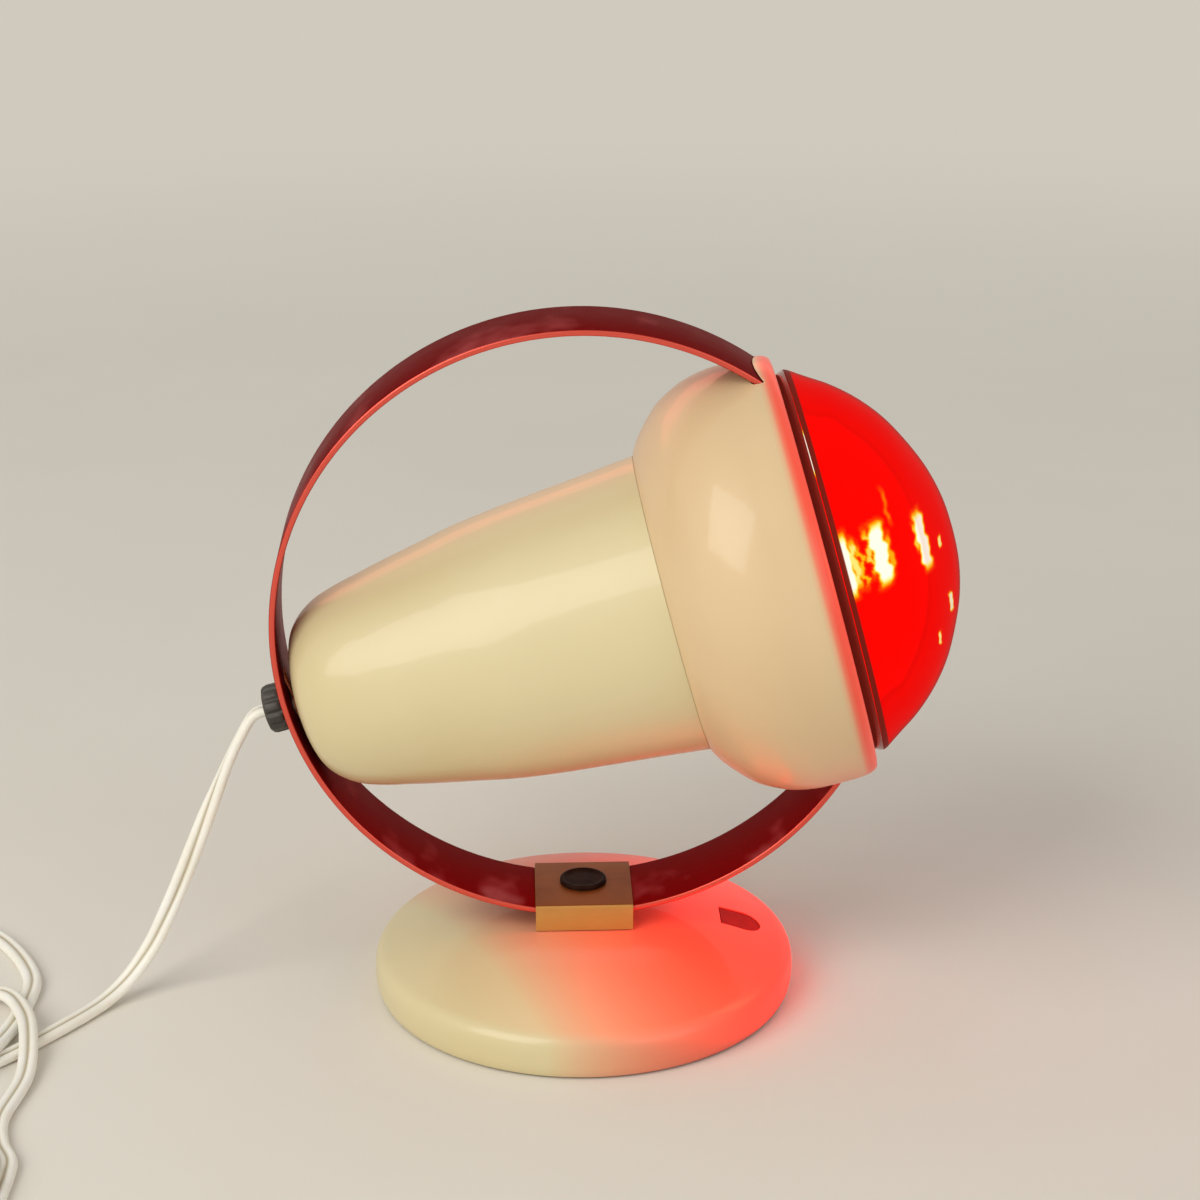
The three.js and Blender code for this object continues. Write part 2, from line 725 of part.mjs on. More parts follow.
// Fluted nut that clamps the strap and lets the cord out
function glandNut() {
  const flutes = Array.from({ length: glandFlutes }, (_, i) => {
    const turn = (i / glandFlutes) * 2 * Math.PI;
    return rod(fluteRadius, glandEndAt - overrun, glandNutAt + overrun, 8)
      .translate(Math.cos(turn) * glandNutRadius, Math.sin(turn) * glandNutRadius, 0);
  });
  const bore = rod(nippleRadius + seatGap, glandEndAt + glandEndWall, glandNutAt + overrun);
  const mouth = rod(nippleBore, glandEndAt - overrun, glandNutAt);
  return cut(rod(glandNutRadius, glandEndAt, glandNutAt, 36), [...flutes, bore, mouth]);
}

// Earth tag: a ring with two prongs that stand up beside the tail, turned toward the front
function earthTag() {
  const prong = (side) => block(
    tagReach,
    tagProngWidth,
    tagThickness,
    -tagReach / 2,
    (side * (tagProngWidth + tagProngGap)) / 2,
    tagAt,
  );
  const hole = rod(nippleRadius + seatGap, tagAt - overrun, tagAt + tagThickness + overrun);
  const eye = rod(tagRadius, tagAt, tagAt + tagThickness);
  return cut(join([eye, prong(1), prong(-1)]), [hole]).rotateZ(tagTurn);
}

function buildHousings() {
  add('rear_housing', 'cream', rearHousing(), head);
  add('front_bell', 'cream', frontBell(), head);
  const nippleOuter = glandEndAt + glandEndWall + seatGap;
  add('nipple_tube', 'steel', sleeve(nippleRadius, nippleBore, nippleOuter, nippleInner, smallSides), head);
  add('earth_tag', 'copper', earthTag(), head);
  const washer = sleeve(
    glandWasherRadius,
    nippleRadius + seatGap,
    glandWasherAt - glandWasherThickness,
    glandWasherAt,
    smallSides,
  );
  add('gland_washer', 'steel', washer, head);
  add('gland_nut', 'black', glandNut(), head);
  const wallInside = tailAt + housingWall + seatGap;
  add('lock_nut', 'steel', hexNut(lockNutRadius, wallInside, lockNutHeight), head);
  const bracketFront = bracketPlateAt + bracketThickness + seatGap;
  add('bracket_nut', 'steel', hexNut(lockNutRadius, bracketFront, bracketNutHeight), head);
}

// Lampholder: porcelain cup with a threaded sleeve and a centre contact, held in a U bracket
function holderBracket() {
  const arm = (side) => block(
    bracketWidth,
    bracketThickness,
    holderScrewAt + bracketWidth / 2 - bracketPlateAt,
    0,
    side * (bracketReach - bracketThickness / 2),
    bracketPlateAt,
  );
  const plate = block(bracketWidth, 2 * bracketReach, bracketThickness, 0, 0, bracketPlateAt);
  const eye = rod(bracketEyeRadius, bracketPlateAt, bracketPlateAt + bracketThickness);
  const plateTop = bracketPlateAt + bracketThickness;
  const bore = rod(nippleRadius + seatGap, bracketPlateAt - overrun, plateTop + overrun);
  const screws = [-1, 1].map((side) => (
    crosswise(holderScrewRadius + seatGap, side * holderRadius, side * (bracketReach + overrun))
  ));
  return cut(join([plate, eye, arm(1), arm(-1)]), [bore, ...screws]);
}

// A rod along Y at the lampholder's screws, between two places
function crosswise(radius, from, to, sides = smallSides) {
  return rod(radius, Math.min(from, to), Math.max(from, to), sides)
    .rotateX(-Math.PI / 2)
    .translate(0, 0, holderScrewAt);
}

function holderBody() {
  const bore = sleeveRadius + seatGap;
  const stem = holderContactStem + seatGap;
  const body = turned([
    [stem, holderBack],
    [holderRadius, holderBack],
    [holderRadius, holderFront],
    [bore, holderFront],
    [bore, holderFloor],
    [stem, holderFloor],
    [stem, holderBack],
  ], roundSides);
  const screws = [-1, 1].map((side) => crosswise(
    holderScrewRadius + seatGap,
    side * (holderRadius - holderScrewReach),
    side * (holderRadius + overrun),
  ));
  return cut(body, screws);
}

function buildHolder() {
  add('holder_bracket', 'steel', holderBracket(), head);
  add('holder_body', 'porcelain', holderBody(), head);
  const sleeveLow = holderFloor + seatGap;
  const thread = sleeve(sleeveRadius, sleeveRadius - sleeveThickness, sleeveLow, holderFront, threadSides);
  add('holder_sleeve', 'brass', thread, head);
  const contact = turned([
    [0, holderBack - seatGap],
    [holderContactStem, holderBack - seatGap],
    [holderContactStem, holderFloor + seatGap],
    [holderContactRadius, holderFloor + seatGap],
    [holderContactRadius, holderFloor + seatGap + holderContactHeight],
    [0, holderFloor + seatGap + holderContactHeight],
  ], smallSides);
  add('holder_contact', 'brass', contact, head);
  [-1, 1].forEach((side, i) => {
    const seat = bracketReach + seatGap;
    const screwTip = holderRadius - holderScrewReach + seatGap;
    const screw = join([
      crosswise(holderScrewHead, side * seat, side * (seat + holderScrewHeadHeight)),
      crosswise(holderScrewRadius, side * screwTip, side * (seat + seatGap)),
    ]);
    add(`holder_screw_${i + 1}`, 'steel', screw, head);
    const start = glandEndAt + seatGap;
    const path = new THREE.CatmullRomCurve3([
      new THREE.Vector3(0, side * leadSpacing, start),
      new THREE.Vector3(0, side * leadSpacing, (start + nippleInner) / 2),
      new THREE.Vector3(0, side * leadSpacing, nippleInner - leadTerminal),
      new THREE.Vector3(0, side * leadSpacing, nippleInner),
      new THREE.Vector3(0, side * leadSpread, holderBack - leadTerminal),
      new THREE.Vector3(0, side * leadSpread, holderBack - seatGap),
    ], false, 'centripetal');
    add(`lead_wire_${i + 1}`, 'cord', tube(path, 2 * leadRadius, 2 * leadRadius, leadSteps, leadSides), head);
  });
}

// Bulb: mirrored reflector, red front glass, screw cap, and the filament on its stem
function reflector() {
  const low = capTopAt + seatGap;
  const neck = capRadius - capWall;
  const foot = reflectorFootShares.map(([out, along]) => [
    neck + (neckRadius - neck) * out,
    low + (bulbFrontAt - low) * along,
  ]);
  const side = reflectorSideShares.map(([out, along]) => [
    neckRadius + (bulbRadius - neckRadius) * out,
    low + (bulbFrontAt - low) * along,
  ]);
  return shell([...foot, ...side], glassWall);
}

function frontGlass() {
  const sphere = (bulbRadius ** 2 + domeHeight ** 2) / (2 * domeHeight);
  const middle = bulbApexAt - sphere;
  const low = bulbFrontAt + seatGap;
  const arc = (radius) => {
    const start = Math.asin((low - middle) / radius);
    return Array.from({ length: domeSteps + 1 }, (_, i) => {
      const turn = start + (i / domeSteps) * (Math.PI / 2 - start);
      return [i === domeSteps ? 0 : Math.cos(turn) * radius, middle + Math.sin(turn) * radius];
    });
  };
  return turned([...arc(sphere), ...arc(sphere - glassWall).reverse(), arc(sphere)[0]]);
}

function buildBulb() {
  add('bulb_reflector', 'mirror', reflector(), head);
  add('bulb_front_glass', 'redGlass', frontGlass(), head);
  const inner = capRadius - capWall;
  add('bulb_cap', 'steel', sleeve(capRadius, inner, capEndAt, capTopAt, threadSides), head);
  const insulator = turned([
    [0, capEndAt - capInsulatorHeight],
    [capContactRadius + capWall, capEndAt - capInsulatorHeight],
    [inner, capEndAt - seatGap],
    [0, capEndAt - seatGap],
  ], smallSides);
  add('bulb_cap_insulator', 'black', insulator, head);
  const contactHigh = capEndAt - capInsulatorHeight - seatGap;
  add('bulb_contact', 'steel', rod(capContactRadius, bulbTipAt, contactHigh), head);
  const stemLow = capTopAt + seatGap;
  const stemBaseRadius = inner - glassWall - seatGap;
  const stemTop = stemLow + stemLength;
  const stem = turned([
    [0, stemLow],
    [stemBaseRadius, stemLow],
    [stemRadius, stemLow + stemLength * stemFlareShare],
    [stemRadius, stemTop],
    [0, stemTop],
  ], smallSides);
  add('bulb_stem', 'clearGlass', stem, head);
  [-1, 1].forEach((side, i) => {
    const path = new THREE.CatmullRomCurve3([
      new THREE.Vector3(0, side * stemRadius / 2, stemTop + seatGap),
      new THREE.Vector3(0, side * filamentReach / 2, stemTop + filamentRise),
      new THREE.Vector3(0, side * filamentReach, stemTop + 2 * filamentRise - filamentWireRadius - seatGap),
    ]);
    const support = tube(path, 2 * supportRadius, 2 * supportRadius, supportSteps, wireSides);
    add(`filament_support_${i + 1}`, 'steel', support, head);
  });
  const zigzag = Array.from({ length: 2 * filamentZigs + 1 }, (_, i) => {
    const share = i / (2 * filamentZigs);
    const rise = i % 2 === 0 ? 0 : filamentRise;
    return new THREE.Vector3(0, filamentReach * (2 * share - 1), stemTop + 2 * filamentRise + rise);
  });
  const wire = new THREE.CatmullRomCurve3(zigzag);
  const spiral = tube(wire, 2 * filamentWireRadius, 2 * filamentWireRadius, filamentSteps, wireSides);
  add('filament', 'glow', spiral, head);
}

// Cord: the loose run, the wound rest and the plug
function cordExit() {
  return new THREE.Vector3(0, 0, glandEndAt - seatGap).applyMatrix4(head.matrix).add(ring.position);
}

function cordRun() {
  const exit = cordExit();
  const end = coilLine()[0].add(new THREE.Vector3(0, seatGap, 0));
  const points = [exit, ...cordRoute.map(([x, y, z]) => new THREE.Vector3(x, y, z)), end];
  return tube(new LevelPath(points, false, 'centripetal'), cordWidth, cordThickness, cordSteps, cordSides);
}

// Middle of the wound cord after this many turns: in along the table, up a layer where it turns back
function coilPoint(turns) {
  const reverse = coilTurns / 2;
  const radius = coilOuterTurn - coilPitch * Math.min(turns, coilTurns - turns);
  const climb = THREE.MathUtils.clamp((turns - reverse) * 2 + 0.5, 0, 1);
  const angle = -turns * 2 * Math.PI;
  return new THREE.Vector3(
    coilMiddleX + Math.cos(angle) * radius,
    coilMiddleY + Math.sin(angle) * radius,
    cordThickness / 2 + coilLayerRise * climb,
  );
}

// The wound cord's line, with a straight lead and a straight tail that ends at the plug's middle height
function coilLine() {
  const steps = coilTurns * coilStepsPerTurn;
  const line = Array.from({ length: steps + 1 }, (_, i) => coilPoint((i / steps) * coilTurns));
  const lead = line[0].clone().add(new THREE.Vector3(0, cordWidth, 0));
  const bend = line[steps].clone().add(new THREE.Vector3(0, cordWidth, 0));
  const tail = line[steps].clone().add(new THREE.Vector3(0, coilTail - cordWidth, 0)).setZ(plugThickness / 2);
  const end = tail.clone().add(new THREE.Vector3(0, cordWidth, 0));
  return [lead, ...line, bend, tail, end];
}

// Corners of the wound cord's section at each point of its line, flat on the table
function coilSections(line, sides) {
  return line.map((point, i) => {
    const run = line[Math.min(i + 1, line.length - 1)].clone().sub(line[Math.max(i - 1, 0)]);
    if (i === 0) run.copy(line[1]).sub(line[0]);
    const across = new THREE.Vector3(run.y, -run.x, 0).normalize();
    const upward = across.clone().cross(run).normalize();
    return Array.from({ length: sides }, (_, k) => {
      const turn = (k / sides) * 2 * Math.PI;
      return point.clone()
        .addScaledVector(across, (Math.cos(turn) * cordWidth) / 2)
        .addScaledVector(upward, (Math.sin(turn) * cordThickness) / 2);
    });
  });
}

function coilBody() {
  const sections = coilSections(coilLine(), coilSides);
  const corners = sections.flat();
  const triangles = [];
  for (let i = 0; i < sections.length - 1; i += 1) {
    for (let k = 0; k < coilSides; k += 1) {
      const [a, b] = [i * coilSides + k, i * coilSides + ((k + 1) % coilSides)];
      triangles.push(a, b, a + coilSides, b, b + coilSides, a + coilSides);
    }
  }
  for (let k = 1; k < coilSides - 1; k += 1) {
    const last = (sections.length - 1) * coilSides;
    triangles.push(0, k + 1, k, last, last + k, last + k + 1);
  }
  const geometry = new THREE.BufferGeometry().setFromPoints(corners);
  geometry.setIndex(triangles);
  return geometry;
}

// Least distance between turns of the coil, over points around its sections
function coilLeastGap() {
  const sections = coilSections(coilLine(), 2 * cordSides);
  let least = Infinity;
  for (let i = 0; i < sections.length; i += 1) {
    for (let j = i + coilStepsPerTurn / 2; j < sections.length; j += 1) {
      for (const p of sections[i]) for (const q of sections[j]) least = Math.min(least, p.distanceTo(q));
    }
  }
  return least;
}

function buildCord() {
  add('cord_run', 'cord', cordRun());
  add('cord_coil', 'cord', coilBody());
  console.log(`least gap between the coil's turns: ${coilLeastGap().toFixed(2)} mm`);
  const end = coilLine().at(-1);
  const rear = end.y + seatGap;
  const shape = new THREE.Shape();
  const half = plugWidth / 2;
  const slim = plugNose / 2;
  shape.moveTo(-slim, 0);
  shape.lineTo(slim, 0);
  shape.lineTo(half, plugLength / 2);
  shape.lineTo(half, plugLength - plugCorner);
  shape.lineTo(half - plugCorner, plugLength);
  shape.lineTo(-half + plugCorner, plugLength);
  shape.lineTo(-half, plugLength - plugCorner);
  shape.lineTo(-half, plugLength / 2);
  shape.closePath();
  const body = new THREE.ExtrudeGeometry(shape, { depth: plugThickness, bevelEnabled: false });
  add('plug_body', 'cord', body.translate(end.x, rear, 0));
  [-1, 1].forEach((side, i) => {
    const pin = rod(pinRadius, 0, pinLength).rotateX(-Math.PI / 2);
    const y = rear + plugLength + seatGap;
    add(`plug_pin_${i + 1}`, 'steel', pin.translate(end.x + (side * pinSpacing) / 2, y, plugThickness / 2));
  });
}

buildBase();
buildClamp();
buildStrap();
buildHousings();
buildHolder();
buildBulb();
buildCord();

export default lamp;
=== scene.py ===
"""Infrared heat therapy lamp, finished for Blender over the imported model, in metres, +Z up.

The lamp shines toward +X. Its strap stands in the XZ plane on a clamp block on a round base.
"""
from math import asin, atan2, cos, pi, radians, sin

import bmesh
import bpy
import numpy as np
from mathutils import Matrix, Vector


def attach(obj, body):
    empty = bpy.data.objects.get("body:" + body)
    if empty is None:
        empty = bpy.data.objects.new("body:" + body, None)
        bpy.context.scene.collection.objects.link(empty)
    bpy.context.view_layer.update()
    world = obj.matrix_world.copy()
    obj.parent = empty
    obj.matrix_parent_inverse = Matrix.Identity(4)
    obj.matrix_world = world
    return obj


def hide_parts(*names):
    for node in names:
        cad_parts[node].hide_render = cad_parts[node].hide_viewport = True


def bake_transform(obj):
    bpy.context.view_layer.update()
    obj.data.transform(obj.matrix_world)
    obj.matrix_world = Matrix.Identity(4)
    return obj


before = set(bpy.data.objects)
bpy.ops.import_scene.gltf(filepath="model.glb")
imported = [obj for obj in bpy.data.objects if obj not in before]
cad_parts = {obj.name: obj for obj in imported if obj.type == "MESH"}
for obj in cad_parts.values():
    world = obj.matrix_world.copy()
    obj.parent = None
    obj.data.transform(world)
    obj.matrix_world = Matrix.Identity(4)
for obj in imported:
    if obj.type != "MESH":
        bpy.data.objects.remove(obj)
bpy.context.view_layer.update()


# Camera
# It stands level with the lamp's flank and looks a little down, as the photographer did.
# Its place and lens were fitted to the strap's circle, the bell's rim and the base's edge.
camera_turn = radians(-1.83)
camera_rise = radians(20.17)
camera_roll = radians(-0.28)
camera_distance = 0.8973
camera_target = Vector((0.00615, 0, 0.1369))
camera_lens = 83.03
camera_sensor = 36

camera_back = Vector((
    sin(camera_turn) * cos(camera_rise),
    -cos(camera_turn) * cos(camera_rise),
    sin(camera_rise),
))
level_right = Vector((cos(camera_turn), sin(camera_turn), 0))
level_up = camera_back.cross(level_right)
camera_right = level_right * cos(camera_roll) + level_up * sin(camera_roll)
camera_up = level_up * cos(camera_roll) - level_right * sin(camera_roll)
camera_data = bpy.data.cameras.new("camera")
camera_data.lens = camera_lens
camera_data.sensor_width = camera_sensor
camera_data.clip_end = 20
camera = bpy.data.objects.new("camera", camera_data)
turn = Matrix((camera_right, camera_up, camera_back)).transposed().to_4x4()
camera.matrix_world = Matrix.Translation(camera_target + camera_back * camera_distance) @ turn
scene = bpy.context.scene
scene.collection.objects.link(camera)
scene.camera = camera
scene.view_settings.view_transform = "Standard"


# Mains cord
# Cream flat twin lead: two round cores side by side in one plastic skin with a groove between.
# It leaves the fluted nut on the lamp's tail, falls to the table, loops twice and is wound up.
cord_exit = (-0.1033, 0, 0.1004)
cord_route = (
    (-0.107, 0, 0.0992), (-0.1136, 0, 0.0886), (-0.123, 0, 0.0674), (-0.1279, -0.0004, 0.0556),
    (-0.1328, -0.001, 0.0438), (-0.1389, -0.0022, 0.03), (-0.1454, -0.004, 0.0172),
    (-0.1532, -0.0084, 0.0072), (-0.1602, -0.015, 0.0027), (-0.1732, -0.0326, 0.0019),
    (-0.1894, -0.0518, 0.0018), (-0.2015, -0.062, 0.0018), (-0.216, -0.0635, 0.0018),
    (-0.229, -0.056, 0.0018), (-0.2362, -0.04, 0.0018), (-0.2476, 0.008, 0.0018),
    (-0.2455, 0.028, 0.0018), (-0.2335, 0.041, 0.0018), (-0.217, 0.043, 0.0018),
    (-0.2034, 0.0333, 0.0018), (-0.1878, 0.004, 0.0018), (-0.1869, -0.014, 0.0018),
    (-0.1896, -0.034, 0.0021), (-0.1934, -0.056, 0.0057), (-0.203, -0.073, 0.0021),
    (-0.218, -0.0785, 0.0018), (-0.2336, -0.0726, 0.0018), (-0.2414, -0.057, 0.0021),
    (-0.2368, -0.038, 0.006), (-0.2235, -0.018, 0.0021), (-0.209, -0.0094, 0.002),
    (-0.1945, -0.0126, 0.0049), (-0.1853, -0.0275, 0.0058), (-0.181, -0.044, 0.0056),
    (-0.1794, -0.064, 0.0024), (-0.183, -0.09, 0.0018), (-0.1806, -0.104, 0.0018),
    (-0.1764, -0.114, 0.0017),
)
coil_middle = (-0.2176, -0.13)
coil_outer = 0.0416
coil_turns = 4.5
coil_pitch = 0.0068
coil_rise = 0.00375
coil_steps = 48  # to each turn
coil_entry = 0.0065
coil_tail = 0.036
tail_steps = 18
plug_middle_height = 0.0065
cord_half_thickness = 0.0016
cord_lobe_offset = 0.0015
cord_web_half = 0.00105
cord_groove_half = 0.0008
cord_spacing = 0.0021
cord_twist = radians(82)
cord_twist_from = 0.012
cord_twist_to = 0.124
cord_section_points = 40


def even(line, spacing):
    """The same line cut into equal lengths of about spacing: its length is read off as it runs."""
    run = np.r_[0, np.cumsum(np.linalg.norm(np.diff(line, axis=0), axis=1))]
    marks = np.linspace(0, run[-1], int(round(run[-1] / spacing)) + 1)
    return np.stack([np.interp(marks, run, line[:, k]) for k in range(line.shape[1])], axis=1)


def through(points, spacing):
    """A smooth line through points, cut into even lengths.

    Between two neighbours it is a cubic. Its slope at each comes from the points on either side,
    each weighed by the square root of its distance, so the line doesn't overshoot.
    """
    points = np.asarray(points, float)
    row = np.vstack([2 * points[0] - points[1], points, 2 * points[-1] - points[-2]])
    before, start, stop, after = row[:-3], row[1:-2], row[2:-1], row[3:]
    gap = np.sqrt(np.linalg.norm(np.diff(row, axis=0), axis=1))[:, None]
    first, middle, last = gap[:-2], gap[1:-1], gap[2:]
    leaving = (start - before) / first - (stop - before) / (first + middle)
    leaving = leaving * middle + stop - start
    arriving = (after - stop) / last - (after - start) / (middle + last)
    arriving = arriving * middle + stop - start
    steps = 24
    share = np.linspace(0, 1, steps, endpoint=False)[None, :, None]
    start, stop, leaving, arriving = (part[:, None, :] for part in (start, stop, leaving, arriving))
    bend = 3 * (stop - start) - 2 * leaving - arriving
    fall = 2 * (start - stop) + leaving + arriving
    line = start + leaving * share + bend * share ** 2 + fall * share ** 3
    return even(np.vstack([line.reshape(-1, points.shape[1]), points[-1:]]), spacing)


def full_turn(steps):
    """Angles spread evenly round a circle, without the last, which is the first again."""
    return np.linspace(0, 2 * pi, steps, endpoint=False)


def grid_faces(rows, columns, round_rows=False):
    """Four-sided faces between neighbours of a grid numbered row by row.

    Each row closes on itself, and the last row joins the first where round_rows says so.
    """
    row = np.arange(rows if round_rows else rows - 1)[:, None]
    column = np.arange(columns)[None, :]
    here, ahead = row * columns, (row + 1) % rows * columns
    beside = (column + 1) % columns
    corners = (here + column, here + beside, ahead + beside, ahead + column)
    return np.stack(np.broadcast_arrays(*corners), axis=-1).reshape(-1, 4)


def make_piece(name, points, faces, made, crease=35, marks=None):
    """A mesh piece from arrays of points and faces.

    Doubled points merge and faces turn outward. Faces that meet at less than crease degrees shade
    as one smooth surface. marks holds further numbers, one for each point, for the nodes to read.
    """
    mesh = bpy.data.meshes.new(name)
    mesh.from_pydata(np.asarray(points).reshape(-1, 3).tolist(), [], [list(face) for face in faces])
    for mark, values in (marks or {}).items():
        mesh.attributes.new(mark, "FLOAT", "POINT").data.foreach_set("value", np.ravel(values))
    work = bmesh.new()
    work.from_mesh(mesh)
    bmesh.ops.remove_doubles(work, verts=work.verts, dist=1e-6)
    bmesh.ops.recalc_face_normals(work, faces=work.faces)
    work.to_mesh(mesh)
    work.free()
    mesh.shade_smooth()
    mesh.set_sharp_from_angle(angle=radians(crease))
    mesh.materials.append(made)
    piece = bpy.data.objects.new(name, mesh)
    scene.collection.objects.link(piece)
    return piece


def grid_piece(name, points, made, crease=35, marks=None, round_rows=False):
    """A mesh piece whose faces join each row of a grid of points to the next."""
    faces = grid_faces(*points.shape[:2], round_rows)
    return make_piece(name, points, faces, made, crease, marks)


def carry(line, section, across=None, turn=None):
    """A section carried along a line: each corner (u, v) goes to line + u across + v upward.

    across is level and square to the line, unless given. upward is square to both. turn rolls the
    section about the line. Both ends close on the line itself. Gives points, row by row.
    """
    run = np.gradient(line, axis=0)
    run /= np.linalg.norm(run, axis=1)[:, None]
    if across is None:
        across = np.stack([run[:, 1], -run[:, 0], np.zeros(len(line))], axis=1)
    across = across / np.linalg.norm(across, axis=1)[:, None]
    upward = np.cross(across, run)
    roll = np.zeros(len(line)) if turn is None else turn
    side = across * np.cos(roll)[:, None] + upward * np.sin(roll)[:, None]
    rise = upward * np.cos(roll)[:, None] - across * np.sin(roll)[:, None]
    rows = line[:, None] + side[:, None] * section[..., :1] + rise[:, None] * section[..., 1:]
    ends = [np.repeat(line[k][None, None], rows.shape[1], axis=1) for k in (0, -1)]
    return np.concatenate([ends[0], rows, ends[1]])


def finish(name, colour, **sockets):
    """A material with its own node tree; sockets are constants set on its shader, by plain name."""
    made = bpy.data.materials.new(name)
    made.use_nodes = True
    shader_of(made).inputs["Base Color"].default_value = (*colour, 1)
    for socket, value in sockets.items():
        plain = socket.replace("_", " ").title().replace("Ior", "IOR")
        shader_of(made).inputs[plain].default_value = value
    return made


def shader_of(made):
    """The shader of a material that finish made."""
    return made.node_tree.nodes["Principled BSDF"]


def add_node(made, kind, settings=(), **sockets):
    """A further node in a material: settings are its own options and sockets its constants."""
    node = made.node_tree.nodes.new(kind)
    for option, value in dict(settings).items():
        setattr(node, option, value)
    for socket, value in sockets.items():
        node.inputs[socket.replace("_", " ").title()].default_value = value
    return node


def join_nodes(made, *pairs):
    """Links between nodes of a material, each from an output to an input."""
    for output, entry in pairs:
        made.node_tree.links.new(output, entry)


def own_place(made, stretch=None):
    """Where a point lies in its own piece, as an output. stretch scales it along each axis."""
    place = add_node(made, "ShaderNodeTexCoord").outputs["Object"]
    if stretch:
        squeeze = add_node(made, "ShaderNodeMapping", scale=stretch)
        join_nodes(made, (place, squeeze.inputs["Vector"]))
        place = squeeze.outputs["Vector"]
    return place


def mark_in(made, name):
    """One of the marks that a mesh carries for each of its points, as an output."""
    return add_node(made, "ShaderNodeAttribute", {"attribute_name": name}).outputs["Fac"]


def tint(made, share, colour, socket="Base Color"):
    """Mixes a further colour over the one a finish has, as far as share, an output, says."""
    entry = shader_of(made).inputs[socket]
    mix = add_node(made, "ShaderNodeMix", {"data_type": "RGBA"})
    mix.inputs[6].default_value = entry.default_value
    mix.inputs[7].default_value = (*colour, 1)
    if entry.links:
        join_nodes(made, (entry.links[0].from_socket, mix.inputs[6]))
    join_nodes(made, (share, mix.inputs[0]), (mix.outputs[2], entry))


def mottle(made, other_colour, scale, share=(0.35, 0.7), detail=4, stretch=None):
    """Clouds of a second colour: noise in the piece's own space mixes it into the base colour."""
    cloud = add_node(made, "ShaderNodeTexNoise", scale=scale, detail=detail, roughness=0.6)
    mask = add_node(made, "ShaderNodeMapRange", from_min=share[0], from_max=share[1])
    join_nodes(
        made,
        (own_place(made, stretch), cloud.inputs["Vector"]),
        (cloud.outputs["Fac"], mask.inputs["Value"]),
    )
    tint(made, mask.outputs["Result"], other_colour)


def grain(made, scale, strength, distance, rough=None, stretch=None):
    """Fine bumps from noise in the piece's own space. rough is the range that the gloss takes."""
    shader = shader_of(made)
    noise = add_node(made, "ShaderNodeTexNoise", scale=scale, detail=3)
    bump = add_node(made, "ShaderNodeBump", strength=strength, distance=distance)
    join_nodes(
        made,
        (own_place(made, stretch), noise.inputs["Vector"]),
        (noise.outputs["Fac"], bump.inputs["Height"]),
        (bump.outputs["Normal"], shader.inputs["Normal"]),
    )
    if rough:
        gloss = add_node(made, "ShaderNodeMapRange", to_min=rough[0], to_max=rough[1])
        join_nodes(
            made,
            (noise.outputs["Fac"], gloss.inputs["Value"]),
            (gloss.outputs["Result"], shader.inputs["Roughness"]),
        )


def shade(red, green, blue):
    """A colour as a screen writes it, 0 to 255, turned into the light that a shader wants."""
    value = np.array([red, green, blue]) / 255
    return tuple(np.where(value <= 0.04045, value / 12.92, ((value + 0.055) / 1.055) ** 2.4))


cord_plastic = finish(
    "cord cream plastic", shade(252, 250, 243), roughness=0.42, specular_ior_level=0.45,
    subsurface_weight=0.06, subsurface_scale=0.002,
)
mottle(cord_plastic, shade(247, 242, 228), 55)
grain(cord_plastic, 900, 0.12, 0.0003, rough=(0.36, 0.5))
# Painted shade: the groove between the cores is painted darker.
tint(cord_plastic, mark_in(cord_plastic, "groove"), shade(178, 164, 132))


def ease(share):
    """A smooth step: share squared times (3 - 2 share), so it leaves 0 and meets 1 level."""
    return share ** 2 * (3 - 2 * share)


coil_lead = (coil_middle[0] + coil_outer, coil_middle[1] + coil_entry, cord_half_thickness)
run_line = through([cord_exit, *cord_route, coil_lead], cord_spacing)

# Middle of the wound cord after t turns: the radius shrinks by a pitch a turn and grows again
# after half the turns, on a second layer, which it climbs to over half a turn.
turns = np.linspace(0, coil_turns, int(coil_turns * coil_steps) + 1)
coil_radius = coil_outer - coil_pitch * np.minimum(turns, coil_turns - turns)
coil_climb = np.clip((turns - coil_turns / 2) * 2 + 0.5, 0, 1)
coil_line = np.stack([
    coil_middle[0] + np.cos(-2 * pi * turns) * coil_radius,
    coil_middle[1] + np.sin(-2 * pi * turns) * coil_radius,
    cord_half_thickness + coil_rise * coil_climb,
], axis=1)
tail_share = np.linspace(0, 1, tail_steps)[1:]
tail_line = coil_line[-1] + np.stack([
    np.zeros(len(tail_share)),
    tail_share * coil_tail,
    ease(tail_share) * (plug_middle_height - coil_line[-1][2]),
], axis=1)
cord_line = even(np.vstack([run_line, coil_line[1:], tail_line]), cord_spacing)

# The section's height at u across is that of a lobe's circle, but nowhere less than the web's.
around = full_turn(cord_section_points)
section_u = (cord_lobe_offset + cord_half_thickness) * np.cos(around)
lobe = cord_half_thickness ** 2 - (np.abs(section_u) - cord_lobe_offset) ** 2
section_v = np.sqrt(np.maximum(lobe, 0))
between_lobes = np.abs(section_u) < cord_lobe_offset
section_v = np.where(between_lobes, np.maximum(section_v, cord_web_half), section_v)
cord_section = np.stack([section_u, section_v * np.where(np.sin(around) < 0, -1, 1)], axis=1)

